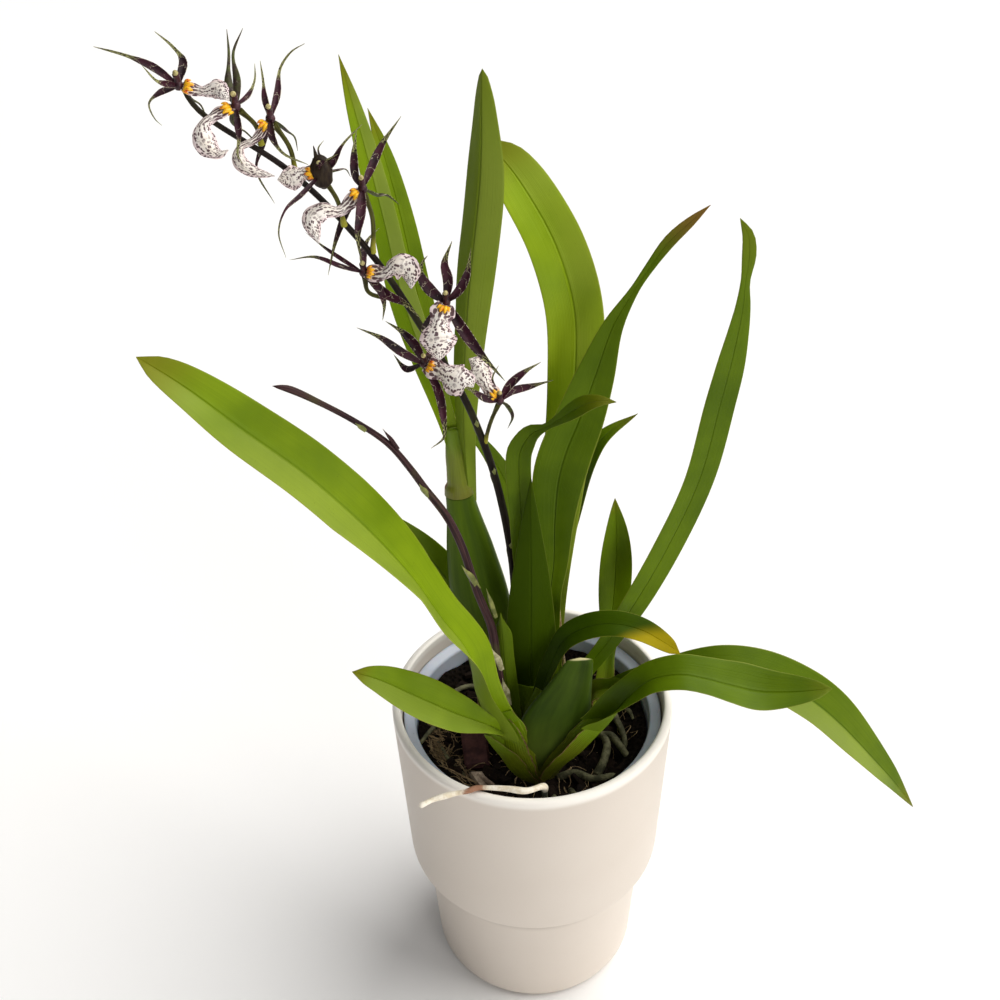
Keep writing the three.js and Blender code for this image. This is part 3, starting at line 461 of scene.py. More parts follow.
def sheath_finish():
    """Leaf sheath: yellow-green, drying to brown along its margins and foot."""
    made = Finish("sheath_skin", 0.45, Specular_IOR_Level=0.3)
    u, _, s, reach = made.skin()
    place = made.place()
    grain = made.noise(made.vector(u * 2.0, s * 22.0), 1.0, 4.0, 0.6)
    ragged = made.noise(place, 220.0, 4.0, 0.6)
    vein = made.sum("SINE", s * 80.0 + grain * 4.0) * 0.5 + 0.5
    color = made.blend(grain.above(0.5, 0.2), tone(92, 104, 8), tone(118, 132, 18))
    color = made.blend(vein * 0.2, color, tone(130, 138, 34))
    color = made.blend(u.below(0.2, 0.2) * 0.5, color, tone(104, 92, 26))
    color = made.blend((u + grain * 0.2).above(0.8, 0.15), color, tone(108, 134, 8))
    dry = (reach + ragged * 0.12).above(1.045, 0.015)
    color = made.blend(dry, color, tone(150, 116, 84))
    color = made.blend(dry * ragged.above(0.55, 0.06) * 0.8, color, tone(84, 50, 34))
    made.color(color)
    made.roughness(0.4 + dry * 0.4)
    made.bump(vein * 0.3 + grain * 0.4 + dry * ragged * 0.6, 0.0006, 0.5)
    return made.material


def stem_finish(name, dark, light, patched, breaks=9.0, base=None):
    """Flower stem: dark skin with fine length lines, that break more or less often, and patches."""
    made = Finish(name, 0.42, Specular_IOR_Level=0.1)
    u, v = made.uv()
    place = made.place()
    line = made.noise(made.vector(u * breaks, v * 7.0), 1.0, 4.0, 0.65)
    patch = made.noise(place, 60.0, 2.0)
    color = made.blend(line.above(0.52, 0.15), dark, light)
    color = made.blend(patch.above(0.6, 0.1) * 0.6, color, patched)
    if base:
        color = made.blend((u + line * 0.2).below(0.3, 0.14), color, base)
    made.color(color)
    made.roughness(0.36 + line * 0.2)
    made.bump(line, 0.0003, 0.5)
    return made.material


def plain_skin(name, dark, light, scale, roughness, bump=0.0003, specular=0.3):
    """A mottled skin of two near colours, for bracts, roots and chips."""
    made = Finish(name, roughness, Specular_IOR_Level=specular)
    place = made.place()
    coarse = made.noise(place, scale, 4.0, 0.65)
    fine = made.noise(place, scale * 5.0, 3.0, 0.6)
    color = made.blend(coarse.above(0.5, 0.16), dark, light)
    made.color(made.blend(fine.above(0.6, 0.1) * 0.4, color, dark))
    made.roughness(roughness + (fine - 0.5) * 0.2)
    made.bump(coarse + fine * 0.5, bump, 0.6)
    return made.material


def tepal_finish():
    """Petal: maroon heart with pale cross lines, then a green tail with dark blotches."""
    made = Finish("tepal_skin", 0.45, Specular_IOR_Level=0.2)
    u, v, s, margin = made.skin()
    place = made.place()
    wander = made.noise(place, 240.0, 3.0, 0.6)
    maroon = made.blend(made.noise(place, 160.0).above(0.5, 0.2), tone(30, 11, 20), tone(66, 24, 40))
    rings = made.sum("FRACT", u * 6.0 + wander * 2.2 + margin * 0.4)
    lines = rings.below(0.04, 0.03) * u.above(0.16, 0.05) * wander.above(0.46, 0.06)
    dashes = margin.above(0.93, 0.03) * made.noise(place, 900.0, 1.0).above(0.52, 0.05)
    color = made.blend(made.sum("MAXIMUM", lines, dashes) * 0.85, maroon, tone(200, 190, 164))
    upper = made.height(place).above(0.465, 0.01)
    tail = (u + wander * 0.2 + upper * 0.16).above(0.76, 0.05)
    blotch = made.noise(made.vector(u * 24.0, s * 2.4), 1.0, 2.0, 0.5)
    green = made.blend((blotch + upper * 0.05).below(0.53, 0.03), tone(160, 160, 104), tone(34, 24, 20))
    color = made.blend(tail, color, green)
    back = v.above(1.0, 0.01)
    outside = made.blend(wander.above(0.52, 0.12), tone(74, 82, 40), tone(50, 34, 36))
    color = made.blend(back * 0.85, color, outside)
    made.color(color)
    made.bump(made.noise(made.vector(u * 6.0, s * 16.0), 1.0), 0.0003, 0.4)
    return made.material


def lip_finish():
    """Lip: cream with maroon streaks down its middle, dots near its rosy margin."""
    made = Finish("lip_skin", 0.5, Specular_IOR_Level=0.2)
    u, v, s, reach = made.skin()
    place = made.place()
    drift = made.noise(place, 420.0, 2.0) * 0.8
    streaks = made.cells(made.vector(u * 17.0 + drift, s * 4.0 + drift), 1.0).below(0.43, 0.04)
    dots = made.cells(made.vector(u * 30.0 + drift, s * 6.0 + drift), 1.0).below(0.44, 0.05)
    blots = made.cells(made.vector(u * 13.0, s * 3.2 + drift), 1.0).below(0.52, 0.04)
    heart = reach.below(0.5, 0.12) * u.below(0.66, 0.08)
    marks = made.sum("MAXIMUM", streaks * heart, dots * (1 - heart))
    throat = u.below(0.3, 0.05)
    marks = made.sum("MAXIMUM", marks * (1 - throat), blots * throat)
    color = made.blend(made.noise(place, 150.0).above(0.5, 0.25), tone(250, 244, 238), tone(240, 230, 218))
    color = made.blend(reach.above(0.7, 0.2) * 0.5, color, tone(214, 180, 190))
    color = made.blend(marks * 0.92, color, tone(66, 22, 40))
    color = made.blend(v.above(1.0, 0.01) * 0.35, color, tone(206, 196, 170))
    made.color(color)
    made.bump(made.noise(made.vector(u * 5.0, s * 14.0), 1.0) + marks * 0.2, 0.0004, 0.4)
    return made.material


def callus_finish():
    """Callus: yellow, flushed orange and spotted red-brown."""
    made = Finish("callus_skin", 0.45, Subsurface_Weight=0.1, Subsurface_Scale=0.001)
    place = made.place()
    cloud = made.noise(place, 480.0, 3.0)
    color = made.blend(cloud.above(0.58, 0.1), tone(250, 190, 20), tone(214, 92, 14))
    spots = made.cells(place, 900.0).below(0.22, 0.05)
    made.color(made.blend(spots * cloud.above(0.48, 0.08), color, tone(120, 28, 18)))
    made.bump(cloud, 0.0003, 0.5)
    return made.material


# Finishes of the pot and what is in it


def pot_finish():
    """Cover pot: satin cream with a very fine cast grain and slight clouding, a painted highlight on the rim
    and painted shade under the step.
    """
    made = Finish("pot_cream", 0.42, Specular_IOR_Level=0.5)
    place = made.place()
    cloud = made.noise(place, 9.0, 3.0)
    fine = made.noise(place, 420.0, 3.0, 0.6)
    color = made.blend(cloud.above(0.5, 0.3), tone(220, 210, 199), tone(213, 202, 190))
    height = made.height(place)
    # Painted highlight: the rim is painted near white, standing in for the light from above.
    color = made.blend(height.above(0.1735, 0.002), color, tone(249, 244, 236))
    # Painted shade: a band just under the step is darkened.
    groove = height.above(0.0685, 0.004) * height.below(0.0795, 0.0005)
    color = made.blend(groove * 0.75, color, tone(150, 138, 126))
    dust = made.cells(place, 500.0).below(0.06, 0.02)
    made.color(made.blend(dust * 0.3, color, tone(170, 156, 138)))
    made.roughness(0.38 + fine * 0.14)
    made.bump(fine, 0.0001, 0.35)
    return made.material


def liner_finish():
    """Nursery pot: frosted, bluish, with water marks inside."""
    made = Finish("liner_frost", 0.4, Subsurface_Weight=0.2, Subsurface_Scale=0.003)
    place = made.place()
    cloud = made.noise(place, 40.0, 4.0)
    color = made.blend(cloud.above(0.52, 0.2), tone(188, 195, 208), tone(162, 171, 186))
    specks = made.cells(place, 420.0).below(0.12, 0.04) * cloud.above(0.5, 0.1)
    made.color(made.blend(specks * 0.6, color, tone(120, 124, 124)))
    made.roughness(0.36 + cloud * 0.2)
    return made.material


def soil_finish():
    """Fine mix: dark crumbs with lighter fibres."""
    made = Finish("mix_crumb", 0.9, Specular_IOR_Level=0.05)
    place = made.place()
    crumb = made.cells(place, 380.0)
    fibre = made.noise(place, 240.0, 5.0, 0.7)
    color = made.blend(crumb.above(0.3, 0.2), tone(5, 4, 3), tone(20, 15, 10))
    color = made.blend(fibre.above(0.66, 0.05), color, tone(52, 42, 28))
    made.color(color)
    made.bump(crumb + fibre, 0.0025, 0.9)
    return made.material


def rim_root_finish():
    """Aerial root: chalky skin, with a brown stretch where the skin has worn off."""
    made = Finish("root_pale", 0.8)
    u, _ = made.uv()
    place = made.place()
    flake = made.noise(place, 260.0, 4.0, 0.65)
    color = made.blend(flake.above(0.5, 0.15), tone(222, 208, 180), tone(246, 238, 222))
    ragged = u + flake * 0.1
    worn = ragged.above(0.68, 0.02) * ragged.below(0.8, 0.02)
    color = made.blend(worn, color, tone(146, 104, 78))
    made.color(made.blend(u.below(0.24, 0.02), color, tone(62, 60, 40)))
    made.bump(flake, 0.0006, 0.7)
    return made.material


BULB = bulb_finish("bulb_front_skin", tone(40, 58, 8), tone(62, 84, 16))
BACK_BULB = bulb_finish("bulb_back_skin", tone(60, 82, 10), tone(84, 108, 18))
SHEATH = sheath_finish()
SPIKE = stem_finish("spike_skin", tone(15, 9, 8), tone(36, 25, 20), tone(54, 54, 30))
BUD_SPIKE = stem_finish("bud_spike_skin", tone(38, 24, 28), tone(82, 56, 56), tone(74, 72, 42))
PEDICEL = stem_finish(
    "pedicel_skin", tone(52, 50, 20), tone(92, 92, 38), tone(40, 28, 24), 3.0, tone(150, 146, 50)
)
BRACT = plain_skin("bract_green", tone(92, 98, 46), tone(140, 142, 78), 220.0, 0.5)
PAPER_BRACT = plain_skin("bract_paper", tone(118, 116, 76), tone(190, 184, 146), 240.0, 0.6)
TEPAL = tepal_finish()
LIP = lip_finish()
CALLUS = callus_finish()
COLUMN = plain_skin("column_dark", tone(40, 20, 28), tone(76, 40, 48), 400.0, 0.4)
CUP = stem_finish("cup_skin", tone(34, 24, 20), tone(54, 44, 32), tone(58, 58, 30), 3.0)
CAP = plain_skin("column_cap", tone(132, 116, 70), tone(206, 196, 136), 600.0, 0.4)
POT = pot_finish()
LINER = liner_finish()
SOIL = soil_finish()
CHIP = plain_skin("bark_chip", tone(14, 10, 7), tone(34, 24, 17), 160.0, 0.85, 0.0012, 0.08)
RED_CHIP = plain_skin("bark_red", tone(54, 30, 30), tone(86, 54, 50), 120.0, 0.7, 0.0008, 0.15)
GREY_ROOT = plain_skin("root_grey", tone(58, 58, 40), tone(112, 110, 82), 180.0, 0.75, 0.0006, 0.15)
PALE_CHIP = plain_skin("bark_pale", tone(96, 80, 66), tone(168, 150, 130), 150.0, 0.8, 0.001)
HAIR_ROOT = plain_skin("root_fine", tone(92, 74, 50), tone(150, 128, 94), 300.0, 0.8)
STRAW = plain_skin("straw_dry", tone(150, 122, 84), tone(206, 184, 146), 260.0, 0.7)
RIM_ROOT = rim_root_finish()


# Pot and liner: profiles with rounded corners, spun round the axis


def rounded(corners, steps=5):
    """A profile of (radius, z, rounding) corners with each corner rounded off."""
    profile = []
    for k, (x, z, size) in enumerate(corners):
        here = Vector((x, z))
        if size == 0:
            profile.append(here)
            continue
        before = Vector(corners[k - 1][:2])
        after = Vector(corners[(k + 1) % len(corners)][:2])
        start = here + (before - here).normalized() * size
        end = here + (after - here).normalized() * size
        for j in range(steps + 1):
            w = j / steps
            profile.append(start * (1 - w) ** 2 + here * 2 * w * (1 - w) + end * w * w)
    return profile


def spun(profile, segments):
    """Spins a profile that starts and ends on the axis into a closed body."""
    bm = bmesh.new()
    verts = [bm.verts.new((p.x * MM, 0, p.y * MM)) for p in profile]
    edges = [bm.edges.new(pair) for pair in zip(verts, verts[1:])]
    full = 2 * math.pi
    bmesh.ops.spin(bm, geom=verts + edges, axis=(0, 0, 1), angle=full, steps=segments, use_merge=True)
    bmesh.ops.remove_doubles(bm, verts=bm.verts, dist=SEAM)
    for face in bm.faces:
        face.smooth = True
    return bm


def build_pot():
    inner_rim = POT_RIM_RADIUS - POT_RIM_WALL
    inner_step = POT_STEP_RADIUS - POT_WALL
    shelf = POT_FOOT_TOP_RADIUS - POT_WALL - 1
    corners = [
        (0, 0, 0),
        (POT_FOOT_RADIUS - 3, 0, 3),
        (POT_FOOT_RADIUS + 0.1, 4.5, 3),
        (POT_FOOT_TOP_RADIUS + 0.6, POT_STEP_Z, 1.0),
        (POT_STEP_RADIUS - 0.6, POT_STEP_Z, 0.8),
        (POT_STEP_RADIUS, POT_STEP_Z + 2.4, 1.2),
        (POT_RIM_RADIUS, POT_HEIGHT, 2.8),
        (inner_rim, POT_HEIGHT, 1.5),
        (inner_step, POT_STEP_Z + POT_WALL, 3),
        (shelf, POT_STEP_Z + POT_WALL, 1),
        (POT_FOOT_RADIUS - POT_WALL, POT_WALL, 3),
        (0, POT_WALL, 0),
    ]
    piece("cover_pot", spun(rounded(corners), 128), "pot_clay", "pot", POT)


def build_liner():
    corners = [
        (0, LINER_FLOOR_Z, 0),
        (LINER_BASE_RADIUS, LINER_FLOOR_Z, 1.5),
        (LINER_MOUTH_RADIUS + LINER_WALL, LINER_RIM_Z - 3.4, 1),
        (LINER_FLANGE_RADIUS - 0.6, LINER_RIM_Z - 2.4, 0.8),
        (LINER_FLANGE_RADIUS, LINER_RIM_Z, 0.8),
        (LINER_FLANGE_RADIUS - 1.6, LINER_RIM_Z, 0.6),
        (LINER_MOUTH_RADIUS, LINER_RIM_Z - 1.8, 1.2),
        (LINER_BASE_RADIUS - 0.8, LINER_FLOOR_Z + LINER_WALL, 1.5),
        (0, LINER_FLOOR_Z + LINER_WALL, 0),
    ]
    piece("nursery_pot", spun(rounded(corners), 96), "liner_plastic", "liner", LINER)


# Potting mix: a crumbly plug, bark chips and a web of roots

BANK_WIDTH = 13
BANK_HEIGHT = 9
MIX_RINGS = 46
MIX_SEGMENTS = 120
BEVEL_SHARE = 0.22
JITTER_SHARE = 0.12


def mix_height(x, y):
    """The lumpy surface of the mix, in millimetres."""
    lump = noise.noise(Vector((x, y, 3)) * 0.07) * 2.2
    crumb = noise.noise(Vector((x, y, 9)) * 0.35) * 0.9
    bank = BANK_HEIGHT * smooth(math.hypot(x, y), MIX_RADIUS - BANK_WIDTH, MIX_RADIUS)
    return MIX_TOP_Z + lump + crumb + bank


def mix_plug():
    """The body of the mix, flat below and lumpy on top."""
    foot_z = LINER_FLOOR_Z + 1.6
    profile = [Vector((0, foot_z)), Vector((LINER_BASE_RADIUS - 2.6, foot_z))]
    for k in range(MIX_RINGS, -1, -1):
        profile.append(Vector((MIX_RADIUS * k / MIX_RINGS, MIX_TOP_Z)))
    bm = spun(profile, MIX_SEGMENTS)
    for vert in bm.verts:
        x, y = vert.co.x / MM, vert.co.y / MM
        if vert.co.z / MM > MIX_TOP_Z - 1:
            vert.co.z = mix_height(x, y) * MM
    return bm


def chip(bm, place, size, turn, finish):
    """One rough chip of bark."""
    made = bmesh.ops.create_cube(bm, size=1.0)["verts"]
    for vert in made:
        vert.co = Vector((vert.co.x * size[0], vert.co.y * size[1], vert.co.z * size[2])) * MM
    edges = list({e for v in made for e in v.link_edges})
    offset = min(size) * BEVEL_SHARE * MM
    bevelled = bmesh.ops.bevel(
        bm, geom=edges, offset=offset, segments=1, profile=0.5, affect="EDGES", material=-1
    )
    corners = {v for f in bevelled["faces"] for v in f.verts}
    for face in {f for v in corners for f in v.link_faces}:
        face.material_index = finish
    # The corners are taken by their places, because a set's order changes from run to run
    for vert in sorted(corners, key=lambda v: [round(c, 6) for c in v.co]):
        jitter = Vector((rng.uniform(-1, 1), rng.uniform(-1, 1), rng.uniform(-1, 1)))
        vert.co = turn @ (vert.co + jitter * min(size) * JITTER_SHARE * MM) + Vector(place) * MM


def in_disc(radius):
    angle = rng.uniform(0, 2 * math.pi)
    reach = radius * math.sqrt(rng.random())
    return reach * math.cos(angle), reach * math.sin(angle)


# The thick roots on the mix: points and radius
GREY_ROOTS = [
    ([(10, -31, 150), (19.8, -30.5, 153), (28, -34.5, 153), (38, -33, 153), (47, -28, 150)], 2.1),
    ([(30, -31, 150), (34.4, -24, 154), (36.8, -15, 156), (35, -8.5, 156), (31, -4, 151)], 2.3),
    ([(35, -9, 156), (39, -10, 157), (44, -17, 155), (48, -22, 151)], 2.1),
    ([(42, 9, 150), (44, -1, 156), (46, -12, 155), (45, -16, 151)], 1.8),
    ([(41, 18, 150), (43, 8, 154), (45, -1, 153), (46, -6, 149)], 1.5),
    ([(46, 16, 150), (51, 9, 154), (53, 0, 154), (54, -8, 150)], 1.6),
    ([(17, -38, 149), (19, -43, 152), (24, -47, 150)], 1.7),
    ([(-22, 34, 149), (-34, 32, 153), (-44, 24, 153), (-50, 16, 149)], 1.5),
    ([(-34, -28, 149), (-42, -20, 153), (-47, -10, 153), (-52, 0, 150)], 1.1),
    ([(-36, 22, 149), (-40, 14, 153), (-38, 6, 152), (-41, -2, 149)], 1.2),
    ([(8, -41, 150), (9, -47, 153), (8, -52, 150)], 1.5),
    ([(-14, 42, 149), (-2, 44, 153), (12, 41, 152), (22, 45, 149)], 1.6),
    ([(-44, 8, 152), (-48.3, 1.1, 157), (-52.9, -7.1, 159), (-56.5, -15, 160)], 1.3),
]

# The larger chips: place, size, turn and finish
LARGE_CHIPS = [
    ((-29, -11, 152.5), (13, 25, 6), Matrix.Rotation(0.25, 3, "X") @ Matrix.Rotation(0.08, 3, "Z"), 2),
    ((-27, -32, 151.5), (7, 11, 3), Matrix.Rotation(0.5, 3, "Z") @ Matrix.Rotation(0.5, 3, "Y"), 3),
    ((-24, -33, 152.5), (2.4, 11, 2.4), Matrix.Rotation(0.7, 3, "Z"), 3),
]

LOOSE_CHIPS = 190
HAIR_ROOTS = 210
TANGLE_PLACE = (-43, -14)
TANGLE_REACH = (10, 16)
ROOT_FACES = [(0, 0.2, 1), (0.2, 0, 1)]


def wandering_root(bm, x, y, lift, finish):
    """One hair root that wanders over the mix from a starting place."""
    heading = rng.uniform(0, 2 * math.pi)
    points = []
    count = rng.randint(4, 6)
    for k in range(count):
        hump = math.sin(math.pi * k / (count - 1))
        points.append((x, y, mix_height(x, y) - 1 + hump * rng.uniform(0.4, 1.0) * lift))
        heading += rng.uniform(-0.9, 0.9)
        step = rng.uniform(3.5, 8)
        x, y = x + step * math.cos(heading), y + step * math.sin(heading)
        if math.hypot(x, y) > MIX_RADIUS - 2:
            x, y = x * 0.8, y * 0.8
    radius = rng.uniform(0.16, 0.42)
    rod(bm, Path(points), ROOT_FACES, lambda t: radius * (1.1 - 0.6 * t), None, 12, 4, finish)


def build_mix():
    plug = mix_plug()
    for _ in range(LOOSE_CHIPS):
        x, y = in_disc(MIX_RADIUS - 5)
        size = rng.uniform(2.2, 6.5)
        shape = (size * rng.uniform(1.2, 2.2), size, rng.uniform(1.2, 3.0))
        turn = Matrix.Rotation(rng.uniform(0, math.pi), 3, "Z")
        for axis in "XY":
            turn = turn @ Matrix.Rotation(rng.uniform(-0.6, 0.6), 3, axis)
        chip(plug, (x, y, mix_height(x, y) + rng.uniform(-0.6, 0.8)), shape, turn, 1)
    for place, size, turn, finish in LARGE_CHIPS:
        chip(plug, place, size, turn, finish)
    piece("bark_mix", plug, "bark_mix", "potting_mix", SOIL, CHIP, RED_CHIP, PALE_CHIP)
    web = bmesh.new()
    for points, radius in GREY_ROOTS:
        rod(web, Path(points), ROOT_FACES, lambda t: radius * (1 - 0.25 * t), None, 22, 10)
    for k in range(HAIR_ROOTS):
        x, y = in_disc(MIX_RADIUS - 6)
        if k % 2:
            x, y = (at + rng.uniform(-reach, reach) for at, reach in zip(TANGLE_PLACE, TANGLE_REACH))
        wandering_root(web, x, y, rng.uniform(1.5, 6.5), 1)
    piece("root_web", web, "bark_mix", None, GREY_ROOT, HAIR_ROOT)


# Leaves: path, the way the upper face looks, half widths, fold, finish and waviness. "widths"
# gives (share of the length, half width) pairs, and "shape" the values of leaf_widths. "fold"
# is how many degrees each half rises, at the foot and further up.

